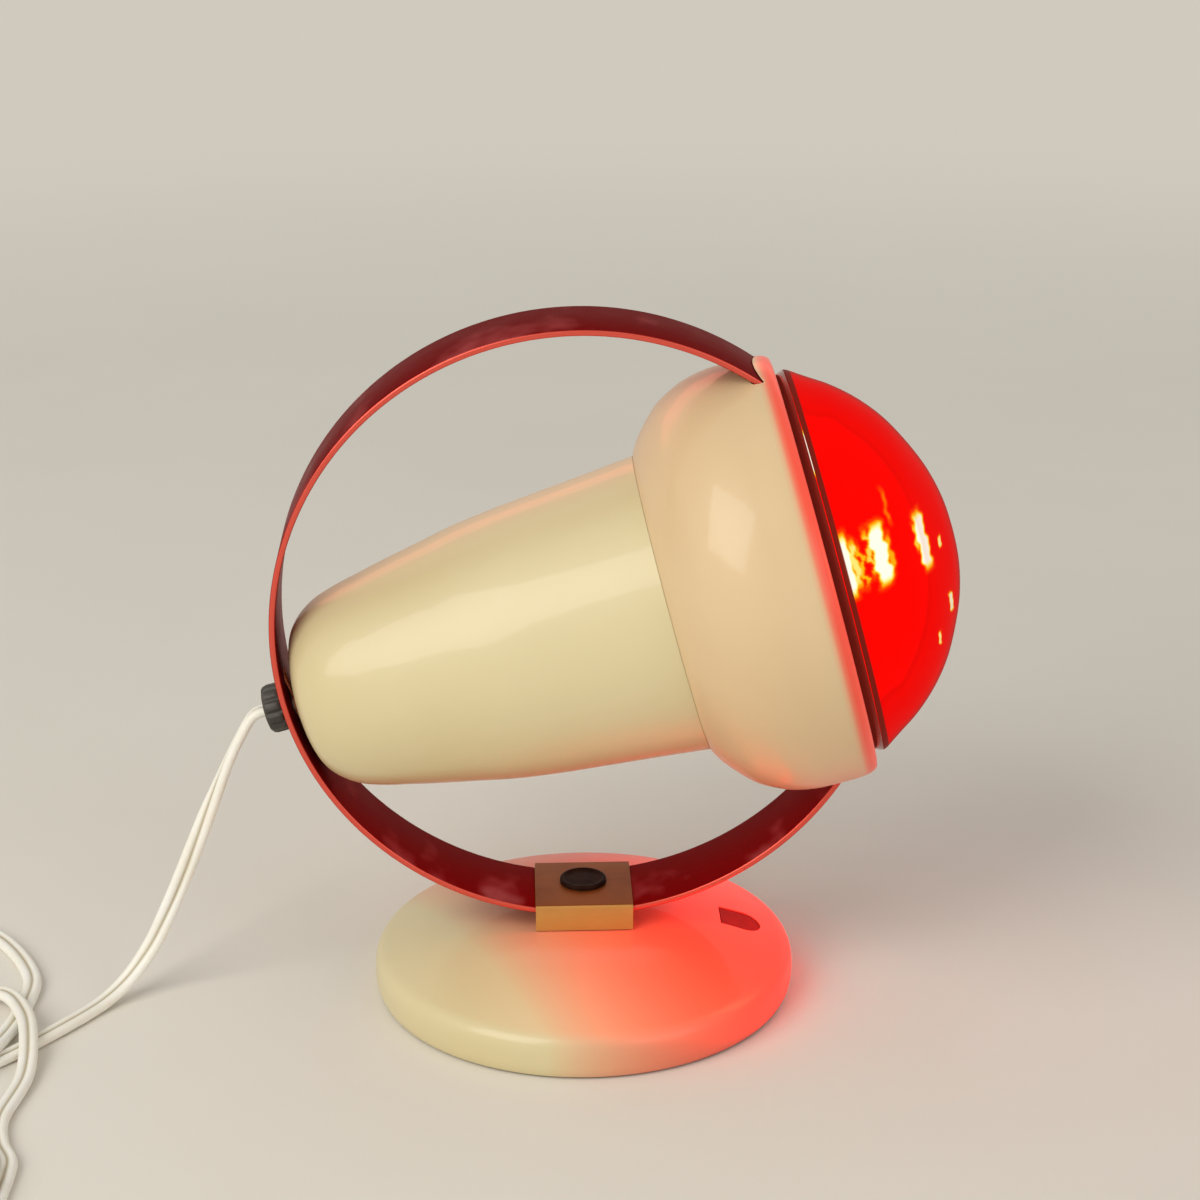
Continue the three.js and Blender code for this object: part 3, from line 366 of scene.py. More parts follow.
# The cord turns on its flat side and back over its free stretch, by a squared sine of its length.
cord_run_length = np.arange(len(cord_line)) * cord_spacing
twist_share = (cord_run_length - cord_twist_from) / (cord_twist_to - cord_twist_from)
twist = cord_twist * np.sin(pi * np.clip(twist_share, 0, 1)) ** 2
cord_points = carry(cord_line, cord_section, turn=twist)
# Painted shade: how far the darker groove colour is painted in, most in the groove's middle.
groove = np.clip(1 - np.abs(section_u) / cord_groove_half, 0, 1)
cord = grid_piece(
    "mains_cord", cord_points, cord_plastic, crease=50,
    marks={"groove": np.broadcast_to(groove, cord_points.shape[:2])},
)
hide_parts("cord_run", "cord_coil")


# Tie and plug of the cord
# A thin plastic twist tie holds the wound turns together. The moulded two-pin plug has a flexible
# relief with ribs, gripping ridges on its sides and round steel pins.
tie_turn = radians(135)
tie_reach = coil_outer - 1.13 * coil_pitch
tie_width = 0.004
tie_half_thickness = 0.0003
tie_half_span = 0.0105
tie_half_height = 0.0044
tie_corner = 0.0016


def rounded_box(half_u, half_v, corner, steps=5):
    """A rounded rectangle as corners (u, v): quarter circles at its four corners, in order."""
    bend = np.linspace(0, pi / 2, steps)
    quarter = np.arange(4)[:, None] * pi / 2 + bend[None]
    corner_u = np.array([1, -1, -1, 1])[:, None] * (half_u - corner) + corner * np.cos(quarter)
    corner_v = np.array([1, 1, -1, -1])[:, None] * (half_v - corner) + corner * np.sin(quarter)
    return np.stack([corner_u, corner_v], axis=-1).reshape(-1, 2)


def circle(radius, steps):
    """A circle as corners (u, v). Several radii in an array of their own shape give several."""
    angle = full_turn(steps)
    return radius * np.stack([np.cos(angle), np.sin(angle)], axis=1)


tie_out = np.array([cos(tie_turn), sin(tie_turn), 0])
tie_along = np.array([-sin(tie_turn), cos(tie_turn), 0])
tie_place = np.array([*coil_middle, tie_half_height]) + tie_reach * tie_out
tie_loop = rounded_box(tie_half_span, tie_half_height - tie_half_thickness, tie_corner)
tie_rows = tie_place + tie_loop[:, :1] * tie_out + tie_loop[:, 1:] * np.array([0, 0, 1])
tie_edge = rounded_box(tie_width / 2, tie_half_thickness, 0.00028, 3)
tie_outward = tie_rows - tie_place
tie_outward /= np.linalg.norm(tie_outward, axis=1)[:, None]
tie_points = tie_rows[:, None] + tie_edge[None, :, :1] * tie_along
tie_points = tie_points + tie_edge[None, :, 1:] * tie_outward[:, None]
tie_plastic = finish("tie black plastic", shade(38, 36, 34), roughness=0.45)
grain(tie_plastic, 700, 0.2, 0.0003, (0.35, 0.6))
mottle(tie_plastic, shade(58, 55, 52), 80)
cord_tie = grid_piece("cord_tie", tie_points, tie_plastic, round_rows=True)
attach(cord_tie, "base")

# Each station of the plug is its distance from the tail, its half width and its half thickness.
plug_gap = 0.0003
plug_rear = cord_line[-1] + np.array([0, plug_gap, 0])
plug_length = 0.034
plug_steps = 90
plug_stations = np.array([
    (0, 0.0045, 0.003), (0.0008, 0.0058, 0.0038), (0.003, 0.0064, 0.0043), (0.006, 0.0068, 0.0047),
    (0.009, 0.0073, 0.0051), (0.012, 0.0081, 0.0055), (0.015, 0.0098, 0.0059),
    (0.0175, 0.0117, 0.0063), (0.021, 0.0129, 0.0065), (0.026, 0.013, 0.0065),
    (0.030, 0.013, 0.0065), (0.0326, 0.0127, 0.0063), (0.0336, 0.0121, 0.0059),
    (0.034, 0.0112, 0.0052),
])
plug_marks = np.linspace(0, plug_length, plug_steps)


def ribs(start, stop, height, pitch, sink=0):
    """A cosine wave along the plug between start and stop, sunk by sink, and nothing elsewhere."""
    wave = height * np.cos(plug_marks / pitch * 2 * pi) - sink
    return np.where((plug_marks > start) & (plug_marks < stop), wave, 0)


relief_ribs = ribs(0.002, 0.0115, 0.0004, 0.0019)
grip_ribs = ribs(0.019, 0.029, 0.0003, 0.0016, 0.0003)
half_u = np.interp(plug_marks, plug_stations[:, 0], plug_stations[:, 1]) + relief_ribs + grip_ribs
half_v = np.interp(plug_marks, plug_stations[:, 0], plug_stations[:, 2]) + relief_ribs
plug_section = rounded_box(1, 1, 0.55, 7) * np.stack([half_u, half_v], axis=1)[:, None]
plug_axis = plug_rear + plug_marks[:, None] * np.array([0, 1, 0])
plug_points = carry(plug_axis, plug_section)
plug = grid_piece("plug_moulding", plug_points, cord_plastic, crease=40)
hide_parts("plug_body")
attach(plug, "base")

pin_steel = finish("pin nickel", shade(206, 202, 192), metallic=1, roughness=0.25)
grain(pin_steel, 600, 0.15, 0.0002, (0.18, 0.35), stretch=(1, 0.1, 1))
mottle(pin_steel, shade(176, 170, 158), 120)
pin_spacing = 0.019
pin_marks = np.array([0, 0.0001, 0.0165, 0.0175, 0.0183, 0.0188, 0.019])[:, None]
pin_radii = np.array([0.0018, 0.002, 0.002, 0.0019, 0.0016, 0.0011, 0.0005])[:, None, None]
for number, side in ((1, -1), (2, 1)):
    pin_foot = plug_rear + np.array([side * pin_spacing / 2, plug_length + plug_gap, 0])
    pin_points = carry(pin_foot + pin_marks * np.array([0, 1, 0]), circle(pin_radii, 24))
    pin = grid_piece(f"plug_prong_{number}", pin_points, pin_steel)
    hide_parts(f"plug_pin_{number}")
    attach(pin, "base")

# The bend runs more outward than down, which keeps the cord's thickness at both limits of the tilt.
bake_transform(cord)


# Base
# A thin domed shell, pressed and stove-enamelled cream, over an iron weight. A D-shaped plate is
# let into its front slope, and a felt under it keeps the table from scratches.
enamel = finish(
    "cream enamel", shade(223, 209, 165), roughness=0.38, specular_ior_level=0.45,
    coat_weight=0.3, coat_roughness=0.07,
)
mottle(enamel, shade(216, 200, 153), 9, detail=2)
grain(enamel, 140, 0.05, 0.0006, rough=(0.36, 0.48))

# Painted light: the red that the lit bulb throws on the enamel nearest to it is painted into its
# colour. The mark named glow says how strongly.
tint(enamel, mark_in(enamel, "glow"), shade(255, 42, 20))


def round_axis(radius, angle, height):
    """Points at (radius cos angle, radius sin angle, height), from arrays that fit together."""
    ahead, aside = radius * np.cos(angle), radius * np.sin(angle)
    return np.stack(np.broadcast_arrays(ahead, aside, height), axis=-1)


def put(points, place):
    """Points moved by place, a 4 by 4 array: turned by its three first columns, then shifted."""
    return points @ place[:3, :3].T + place[:3, 3]


def revolve(outline, steps, place=None):
    """An outline of (radius, height) turned about the Z axis, then moved by place where given.

    Gives one row of steps points round the axis for each point of the outline.
    """
    outline = np.asarray(outline, float)
    points = round_axis(outline[:, :1], full_turn(steps), outline[:, 1:])
    return points if place is None else put(points, place)


def turned_piece(name, outline, steps, made, place=None, crease=35, closed=True, marks=None):
    """A solid turned from an outline of (radius, height).

    The outline runs once round its section, or where closed is false from the axis to the axis.
    """
    return grid_piece(name, revolve(outline, steps, place), made, crease, marks, closed)


def soften_edges(piece, width):
    """Rounds a piece's sharp edges with a narrow bevel."""
    soften = piece.modifiers.new("edge", "BEVEL")
    soften.width = width
    soften.segments = 2
    soften.limit_method = "ANGLE"
    soften.angle_limit = radians(50)


def carve(piece, cutter):
    """Cuts one piece's shape out of another for good and throws the cutter away."""
    cut = piece.modifiers.new("cut", "BOOLEAN")
    cut.object = cutter
    cut.operation = "DIFFERENCE"
    cut.solver = "EXACT"
    bpy.context.view_layer.update()
    evaluated = piece.evaluated_get(bpy.context.evaluated_depsgraph_get())
    shaped = bpy.data.meshes.new_from_object(evaluated)
    piece.modifiers.remove(cut)
    old = piece.data
    piece.data = shaped
    bpy.data.meshes.remove(old)
    used = cutter.data
    bpy.data.objects.remove(cutter)
    bpy.data.meshes.remove(used)


base_outside = through([
    (0.0034, 0.026), (0.012, 0.026), (0.0242, 0.026),
    (0.0304, 0.0256), (0.0365, 0.0249), (0.0434, 0.0235),
    (0.0504, 0.0215), (0.0574, 0.0191), (0.0635, 0.0166), (0.0680, 0.0144), (0.0697, 0.0123),
    (0.0704, 0.0095), (0.0705, 0.0068), (0.0703, 0.0040), (0.0697, 0.0018), (0.0692, 0.0009),
], 0.0011)
base_inside = through([
    (0.0679, 0.0009), (0.0686, 0.0035), (0.0688, 0.007), (0.0684, 0.0105), (0.0668, 0.0131),
    (0.0628, 0.0151), (0.0568, 0.0175), (0.0498, 0.0199),
    (0.0360, 0.0233), (0.0240, 0.0244), (0.0034, 0.0244),
], 0.003)
base = turned_piece("base_dome", np.vstack([base_outside, base_inside]), 192, enamel, crease=30)

inlay_reach = 0.0132
inlay_near = 0.0465
inlay_half = 0.0062
inlay_depth = 0.0008
inlay_gap = 0.00035
near_height, far_height = np.interp(
    [inlay_near, inlay_near + inlay_reach], base_outside[:, 0], base_outside[:, 1],
)
inlay_slope = atan2(near_height - far_height, inlay_reach)
inlay_turn = Matrix.Rotation(inlay_slope, 4, "Y")
inlay_place = np.array(Matrix.Translation((inlay_near, 0, near_height)) @ inlay_turn)


def d_outline(margin):
    """A D as points (x, y): a straight side toward the clamp and a half circle toward the rim."""
    corner = 0.0004
    half = inlay_half + margin
    bend = np.linspace(-pi / 2, pi / 2, 33)
    centre = inlay_reach / cos(inlay_slope) - inlay_half
    round_end = np.stack([centre + half * np.cos(bend), half * np.sin(bend)], axis=1)
    return np.vstack([round_end, [(-margin, half - corner), (-margin, -half + corner)]])


def capped_faces(rows, columns):
    """The faces of a grid of points, and one more face over each of its two ends."""
    end = np.arange(columns)
    return [*grid_faces(rows, columns), end, end + (rows - 1) * columns]


def d_slab(name, margin, levels, made):
    """A stack of D outlines, each at its height with its own margin, closed above and below."""
    rings = []
    for height, grow in levels:
        outline = d_outline(margin + grow)
        rings.append(np.column_stack([outline, np.full(len(outline), height)]))
    points = put(np.stack(rings), inlay_place)
    return make_piece(name, points, capped_faces(*points.shape[:2]), made)


carve(base, d_slab("inlay_cutter", inlay_gap, [(-inlay_depth, 0), (0.004, 0)], enamel))
base.data.set_sharp_from_angle(angle=radians(30))

# Painted light: the red glow painted on the base grows from its near left to its far
# right, fast at first and then slowly.
glow_lead = 0.048
glow_reach = 0.041
base_places = np.zeros(3 * len(base.data.vertices))
base.data.vertices.foreach_get("co", base_places)
base_toward = base_places[0::3] + 0.5 * base_places[1::3] + glow_lead
painted_base_glow = 1 - np.exp(-np.maximum(base_toward, 0) / glow_reach)
base.data.attributes.new("glow", "FLOAT", "POINT").data.foreach_set("value", painted_base_glow)
soften_edges(base, 0.00022)
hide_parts("base_shell")
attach(base, "base")

inlay_red = finish("inlay dark red", shade(134, 4, 3), roughness=0.45, ior=1.12)
mottle(inlay_red, shade(112, 3, 2), 220)
grain(inlay_red, 500, 0.15, 0.0003, rough=(0.25, 0.45))
inlay = d_slab("inlay_plate", 0, [(-0.00078, 0), (-0.0003, 0), (-0.00022, -0.0001)], inlay_red)
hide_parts("base_inlay")
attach(inlay, "base")

felt_wool = finish(
    "felt wool", shade(70, 92, 70), roughness=0.95, specular_ior_level=0.1, sheen_weight=0.4,
)
mottle(felt_wool, shade(48, 68, 50), 260)
grain(felt_wool, 1500, 0.8, 0.0006)
felt_outline = through([
    (0, 0.0015), (0.05, 0.0015), (0.0652, 0.00148),
    (0.0659, 0.0012), (0.066, 0.0007), (0.0657, 0.0002),
    (0.0648, 0), (0.03, 0), (0, 0),
], 0.0014)
felt = turned_piece("base_felt_pad", felt_outline, 128, felt_wool, closed=False, crease=60)
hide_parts("base_felt")
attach(felt, "base")


def coat_nodes(made, *names):
    """Gives CAD nodes that keep their own shape this finish in every material slot."""
    for name in names:
        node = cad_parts[name]
        for place in node.material_slots:
            place.material = made


cast_iron = finish("cast iron", shade(74, 72, 70), metallic=0.6, roughness=0.7)
mottle(cast_iron, shade(96, 78, 62), 60)
grain(cast_iron, 320, 0.7, 0.0008, rough=(0.55, 0.85))
plated_steel = finish("plated steel", shade(178, 174, 164), metallic=1, roughness=0.32)
mottle(plated_steel, shade(146, 138, 124), 75)
grain(plated_steel, 420, 0.2, 0.0003, rough=(0.22, 0.45))
coat_nodes(cast_iron, "base_ballast")
coat_nodes(plated_steel, "base_cover", "base_screw_1", "base_screw_2", "base_screw_3")
coat_nodes(felt_wool, "clamp_friction_pad")
coat_nodes(plated_steel, "clamp_floor", "clamp_leaf_spring", "clamp_bolt", "clamp_washer")
coat_nodes(plated_steel, "clamp_key_1", "clamp_key_2")


# Clamp cover and badge
# The strap runs through a cover folded from brass sheet, brushed and lacquered, its top painted
# darker as shade. A plain black disc with a raised rim is pressed into its top.
cover_half_length = 0.01615
cover_half_width = 0.017
cover_low = 0.0263
cover_high = 0.0354
cover_roof = 0.0008
cover_cheek = 0.0009
cover_fold = 0.0009

brass = finish(
    "lacquered brass", shade(204, 154, 78), metallic=0.3, roughness=0.4,
    coat_weight=0.15, coat_roughness=0.2,
)
mottle(brass, shade(184, 130, 60), 45, detail=5, stretch=(0.35, 1, 1))
grain(brass, 260, 0.12, 0.0003, rough=(0.28, 0.46), stretch=(0.06, 1, 1))
# Painted shade: a darker copy of the brass for the cover's top.
top_shade_brass = finish(
    "darkened brass", shade(150, 82, 36), metallic=0.55, roughness=0.42, specular_ior_level=0.3,
)
mottle(top_shade_brass, shade(126, 62, 24), 38, detail=5)
grain(top_shade_brass, 260, 0.15, 0.0003, rough=(0.36, 0.55), stretch=(0.06, 1, 1))

fold_bend = np.linspace(0, pi / 2, 7)
fold_y = cover_half_width - cover_fold + cover_fold * np.sin(fold_bend)
fold_z = cover_high - cover_fold + cover_fold * np.cos(fold_bend)
inner_y, inner_z = cover_half_width - cover_cheek, cover_high - cover_roof
half_outline = np.vstack([
    np.column_stack([fold_y, fold_z]),
    [(cover_half_width, cover_low), (inner_y, cover_low), (inner_y, inner_z)],
])
cover_outline = np.vstack([half_outline * (-1, 1), half_outline[::-1]])
cover_ends = np.array([[-cover_half_length], [cover_half_length]])
cover_points = np.stack(np.broadcast_arrays(cover_ends, *cover_outline.T), axis=-1)
cover_faces = capped_faces(*cover_points.shape[:2])
clamp_cover = make_piece("clamp_cover_fold", cover_points, cover_faces, brass, crease=30)
# Painted shade: the faces that look up take the darker brass.
clamp_cover.data.materials.append(top_shade_brass)
for face in clamp_cover.data.polygons:
    face.material_index = int(face.normal.z > 0.9)
soften_edges(clamp_cover, 0.0002)
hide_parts("clamp_cover")
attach(clamp_cover, "base")

badge_black = finish("badge black", shade(34, 16, 11), roughness=0.45, ior=1.1)
mottle(badge_black, shade(52, 32, 25), 190)
grain(badge_black, 700, 0.2, 0.0003, rough=(0.3, 0.5))
badge_outline = through([
    (0, 0.03655), (0.0022, 0.0365), (0.0042, 0.03642),
    (0.0056, 0.03648), (0.0062, 0.03672), (0.0067, 0.03702),
    (0.0071, 0.03709), (0.0075, 0.03698), (0.00777, 0.03665), (0.0078, 0.0362), (0.0078, 0.03572),
], 0.0002)
badge_outline = np.vstack([badge_outline, [(0.0049, 0.0357), (0.0049, 0.0347), (0, 0.0347)]])
badge_place = np.array(Matrix.Translation((0, 0.0015, 0)))
badge = turned_piece("clamp_badge_disc", badge_outline, 64, badge_black, badge_place, closed=False)
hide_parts("clamp_badge")
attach(badge, "base")


# Strap
# One flat steel band rolled to a circle and stove-enamelled maroon, brighter where the paint
# thins on its edges. Its ends pass through slots in the bell and turn back inside it.
ring_middle = np.array([0, 0, 0.131])
strap_outer = 0.1
strap_thickness = 0.002
strap_half_width = 0.0155
head_tilt = radians(14.9)
head_drop = 0.003
hook_middle = 0.06462
head_axis = np.array([cos(head_tilt), 0, sin(head_tilt)])
head_down = np.array([sin(head_tilt), 0, -cos(head_tilt)])
head_middle = ring_middle + head_drop * head_down
strap_middle = strap_outer - strap_thickness / 2
upper_end = asin((hook_middle - head_drop) / strap_middle)
lower_end = -asin((hook_middle + head_drop) / strap_middle)

maroon = finish(
    "maroon enamel", shade(136, 5, 12), metallic=0.65, roughness=0.3, ior=1.1,
    specular_tint=(0.4, 0.04, 0.05, 1),
)
# Painted reflections: pale pink clouds in the maroon stand for the surroundings mirrored in its
# gloss.
mottle(maroon, shade(180, 86, 88), 34, share=(0.53, 0.68), detail=3, stretch=(1, 0.7, 1))
grain(maroon, 120, 0.06, 0.0006, rough=(0.22, 0.38))
worn_from = 0.01512
worn_to = 0.0154
edge_parts = add_node(maroon, "ShaderNodeSeparateXYZ")
edge_far = add_node(maroon, "ShaderNodeMath", {"operation": "ABSOLUTE"})
edge_mask = add_node(maroon, "ShaderNodeMapRange", from_min=worn_from, from_max=worn_to)
join_nodes(
    maroon,
    (own_place(maroon), edge_parts.inputs["Vector"]),
    (edge_parts.outputs["Y"], edge_far.inputs[0]),
    (edge_far.outputs[0], edge_mask.inputs["Value"]),
)
tint(maroon, edge_mask.outputs["Result"], shade(228, 94, 80))


def on_strap(angle):
    """Points in the middle of the strap's thickness, at angles about the ring from +X upward."""
    spoke = np.stack([np.cos(angle), np.zeros(len(angle)), np.sin(angle)], axis=1)
    return ring_middle + strap_middle * spoke


strap_steps = 220
strap_arc = np.linspace(upper_end, 2 * pi + lower_end, strap_steps) + head_tilt
strap_line = on_strap(strap_arc)
strap_section = rounded_box(strap_half_width, strap_thickness / 2, 0.0006, 4)
crosswise = np.array([[0.0, 1.0, 0.0]])
strap_points = carry(strap_line, strap_section, across=crosswise)
strap_faces = grid_faces(*strap_points.shape[:2])
strap_points = strap_points.reshape(-1, 3)
hook_section = rounded_box(strap_half_width, 0.0005, 0.0003, 3)
hook_outside = 0.0006
hook_inside = 0.008
for end, side in ((upper_end, 1), (lower_end, -1)):
    hook_from = strap_middle * cos(end)
    hook_reach = np.linspace(hook_from + hook_outside, hook_from - hook_inside, 4)[:, None]
    hook_line = head_middle + hook_reach * head_axis - side * hook_middle * head_down
    hook_points = carry(hook_line, hook_section, across=crosswise)
    strap_faces = np.vstack([strap_faces, grid_faces(*hook_points.shape[:2]) + len(strap_points)])
    strap_points = np.vstack([strap_points, hook_points.reshape(-1, 3)])
strap = make_piece("strap_band", strap_points, strap_faces, maroon)
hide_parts("strap")
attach(strap, "ring")


# Lamp head housings
# Two spun steel shells, stove-enamelled cream: a long rounded rear cone, and a bell whose neck
# pushes into it. The bell's rim is rolled inward, and slots in its flank take the strap's ends.
head_place = np.eye(4)
head_place[:3, 0] = head_down
head_place[:3, 1] = (0, 1, 0)
head_place[:3, 2] = head_axis
head_place[:3, 3] = head_middle
head_steps = 192

housing_outside = through([
    (0.0055, -0.0965), (0.0068, -0.0964), (0.0073, -0.0960), (0.0125, -0.0956), (0.0187, -0.0943),
    (0.0239, -0.0920), (0.0281, -0.0880), (0.0312, -0.0830), (0.0337, -0.0755), (0.0354, -0.0680),
    (0.0372, -0.0600), (0.0399, -0.0465), (0.0424, -0.0340), (0.0443, -0.0200), (0.0457, -0.0060),
    (0.0474, 0.0120), (0.0490, 0.0280), (0.0492, 0.0297),
], 0.0016)
housing_inside = through([
    (0.0477, 0.0297), (0.0442, -0.0060), (0.0409, -0.0340), (0.0357, -0.0598), (0.0322, -0.0750),
    (0.0298, -0.0822), (0.0268, -0.0868), (0.0230, -0.0906),
    (0.0180, -0.0928), (0.0120, -0.0940), (0.0055, -0.0943),
], 0.004)
housing_outline = np.vstack([housing_outside, housing_inside])

# Painted light: the red that the base and the strap throw up on the underside is painted into its
# colour, more the more it faces down.
under_from, under_to = 0.6, 0.98
under_strength = 0.34
facing_down = (np.cos(full_turn(head_steps)) - under_from) / (under_to - under_from)
painted_underside_glow = under_strength * ease(np.clip(facing_down, 0, 1))
housing = turned_piece(
    "rear_housing_shell", housing_outline, head_steps, enamel, head_place, crease=40,
    marks={"glow": np.repeat(painted_underside_glow[None], len(housing_outline), axis=0)},
)
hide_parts("rear_housing")
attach(housing, "ring")

bell_neck = through([(0.0466, 0.0215), (0.0467, 0.0260), (0.0468, 0.0297)], 0.002)
bell_flare = through([
    (0.0491, 0.02975), (0.0497, 0.0300), (0.0512, 0.0307), (0.0548, 0.0331),
    (0.0597, 0.0374), (0.0634, 0.0414), (0.0662, 0.0462),
    (0.0682, 0.0508), (0.0695, 0.0558), (0.0702, 0.0612), (0.0703, 0.0665), (0.0703, 0.0722),
    (0.0701, 0.0750), (0.0697, 0.0774), (0.0690, 0.0792), (0.0679, 0.0802), (0.0668, 0.0804),
], 0.0013)
bell_inside = through([
    (0.0656, 0.0803), (0.0652, 0.0797), (0.0660, 0.0790),
    (0.0672, 0.0784), (0.0682, 0.0768), (0.0687, 0.0740),
    (0.0688, 0.0665), (0.0686, 0.0606), (0.0678, 0.0556),
    (0.0664, 0.0510), (0.0640, 0.0464), (0.0612, 0.0424),
    (0.0580, 0.0392), (0.0540, 0.0352), (0.0500, 0.0327),
    (0.0462, 0.0316), (0.0452, 0.0300), (0.0451, 0.0215),
], 0.002)
bell_outline = np.vstack([bell_neck, bell_flare, bell_inside])

# Painted light: the bell is painted a little red all over, and most on its lip, for the light that
# the red glass throws on it from close by.
lip_from = 0.0746
lip_width = 0.0032
lip_strength = 0.76
plain_strength = 0.11
lip_share = np.clip((bell_outline[:, 1:] - lip_from) / lip_width, 0, 1)
painted_bell_glow = plain_strength + np.maximum(lip_strength * ease(lip_share), painted_underside_glow)
bell = turned_piece(
    "front_bell_shell", bell_outline, head_steps, enamel, head_place, crease=40,
    marks={"glow": painted_bell_glow},
)
slot_gap = 0.0003
slot_inside = 0.02
slot_outside = 0.12
for end, side in ((upper_end, 1), (lower_end, -1)):
    slot_arc = np.linspace(end - side * slot_inside, end + side * slot_outside, 12) + head_tilt
    slot_section = rounded_box(
        strap_half_width + slot_gap, strap_thickness / 2 + slot_gap, 0.0006, 3,
    )
    cutter_points = carry(on_strap(slot_arc), slot_section, across=crosswise)
    carve(bell, grid_piece("slot_cutter", cutter_points, enamel))
bell.data.set_sharp_from_angle(angle=radians(40))
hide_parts("front_bell")
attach(bell, "ring")


# Cord entry at the tail
# A fluted black nut on a threaded tube clamps the strap to the rear housing. Under it sit a steel
# washer and, inside the strap, a copper earth tag with two bent prongs.
nut_outer = 0.0081
nut_flutes = 11
flute_depth = 0.0009

nut_black = finish("nut black plastic", shade(52, 49, 45), roughness=0.46, specular_ior_level=0.5)
mottle(nut_black, shade(76, 72, 66), 160, stretch=(1, 1, 0.4))
grain(nut_black, 600, 0.3, 0.0004, rough=(0.38, 0.6))

# Round the nut the radius dips at each flute by a cosine raised to a power, so the lands stay wide.
# Each level of the nut is its height along the head, its share of the radius and of the flutes.
nut_angle = full_turn(nut_flutes * 16)
flute = ((1 + np.cos(nut_flutes * nut_angle)) / 2) ** 3
nut_height, nut_share, flute_share = np.array([
    (-0.1074, 0.42, 0), (-0.1074, 0.86, 0.2), (-0.10732, 0.9, 0.5), (-0.1068, 0.965, 1),
    (-0.1058, 1, 1), (-0.1030, 1, 1), (-0.1019, 0.985, 1), (-0.1015, 0.95, 0.6), (-0.1015, 0.62, 0),
]).T[:, :, None]
nut_radius = nut_outer * nut_share - flute_depth * flute[None] * flute_share
nut_points = put(round_axis(nut_radius, nut_angle, nut_height), head_place)
gland_nut = grid_piece("fluted_nut", nut_points, nut_black, crease=50, round_rows=True)
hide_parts("gland_nut")
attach(gland_nut, "ring")

copper = finish("copper", shade(252, 146, 92), metallic=0.15, roughness=0.36)
mottle(copper, shade(226, 116, 68), 150)
grain(copper, 500, 0.25, 0.0003, rough=(0.24, 0.48))
coat_nodes(copper, "earth_tag")
coat_nodes(plated_steel, "gland_washer", "nipple_tube", "lock_nut", "bracket_nut")


# Lampholder
# A porcelain cup in a steel bracket, with a brass thread, a sprung contact and two terminals
# for the leads that come in through the threaded tube.
porcelain = finish(
    "porcelain", shade(238, 234, 222), roughness=0.22, coat_weight=0.5, coat_roughness=0.08,
)
mottle(porcelain, shade(226, 220, 204), 40)
grain(porcelain, 200, 0.05, 0.0004, rough=(0.18, 0.32))
thread_brass = finish("thread brass", shade(206, 164, 92), metallic=1, roughness=0.3)
mottle(thread_brass, shade(176, 130, 66), 110)
grain(thread_brass, 500, 0.15, 0.0003, rough=(0.24, 0.42))
lead_plastic = finish("lead insulation", shade(232, 222, 198), roughness=0.5)
mottle(lead_plastic, shade(214, 200, 170), 90)
grain(lead_plastic, 700, 0.15, 0.0003, rough=(0.42, 0.6))
coat_nodes(porcelain, "holder_body")
coat_nodes(thread_brass, "holder_sleeve", "holder_contact")
coat_nodes(plated_steel, "holder_bracket", "holder_screw_1", "holder_screw_2")
coat_nodes(lead_plastic, "lead_wire_1", "lead_wire_2")


# Bulb
# A reflector bulb of blown glass: mirrored inside behind, deep red in front, lit by a coiled
# filament on wire supports over a glass stem. Its threaded cap screws into the holder.
glass_wall = 0.0012


def band_behind(made, dark):
    """Darkens a finish where the mark named band is 1, with a little of the light within it."""
    mark = mark_in(made, "band")
    tint(made, mark, dark)
    tint(made, mark, np.array(dark) * 0.35, "Emission Color")


def ramp(made, *stops):
    """A colour scale: each stop is a place from 0 to 1 and the colour there."""
    scale = add_node(made, "ShaderNodeValToRGB")
    while len(scale.color_ramp.elements) < len(stops):
        scale.color_ramp.elements.new(0.5)
    for element, (place, colour) in zip(scale.color_ramp.elements, stops):
        element.position = place
        element.color = (*colour, 1)
    return scale


band_dark = shade(112, 30, 22)
red_glass = finish(
    "red glass", (0.16, 0.003, 0.001), roughness=0.04, ior=1.16, transmission_weight=0.15,
    specular_ior_level=0, emission_strength=1.0,
)
mottle(red_glass, (0.1, 0.001, 0.0005), 18, detail=2)
grain(red_glass, 30, 0.08, 0.002)
# Painted reflections: the glass's red glow runs up to yellow and white in the painted glints.
glow_and_glint_scale = ramp(
    red_glass, (0, (0.93, 0, 0)), (0.25, (1, 0.06, 0)), (0.5, (1, 0.5, 0.005)),
    (0.72, (1, 0.95, 0.25)), (1, (1, 1, 0.85)),
)

# Painted shade: the light in the glass is painted strongest where the glass is seen squarely and
# weak at its outline, with a painted dark line part way out for a reflection of the rim.
outline_shade_stops = ((0, 1), (0.46, 1), (0.49, 0.76), (0.53, 0.82), (0.8, 0.68), (1, 0.16))
glass_facing = add_node(red_glass, "ShaderNodeLayerWeight", blend=0.5)
outline_shade_scale = ramp(red_glass, *((place, (light, light, light)) for place, light in outline_shade_stops))
glow_tone = add_node(red_glass, "ShaderNodeMix", {"data_type": "RGBA", "blend_type": "MULTIPLY"})
glow_tone.inputs[0].default_value = 1
join_nodes(
    red_glass,
    (mark_in(red_glass, "streak"), glow_and_glint_scale.inputs["Fac"]),
    (glass_facing.outputs["Facing"], outline_shade_scale.inputs["Fac"]),
    (glow_and_glint_scale.outputs["Color"], glow_tone.inputs[6]),
    (outline_shade_scale.outputs["Color"], glow_tone.inputs[7]),
    (glow_tone.outputs[2], shader_of(red_glass).inputs["Emission Color"]),
)
band_behind(red_glass, band_dark)
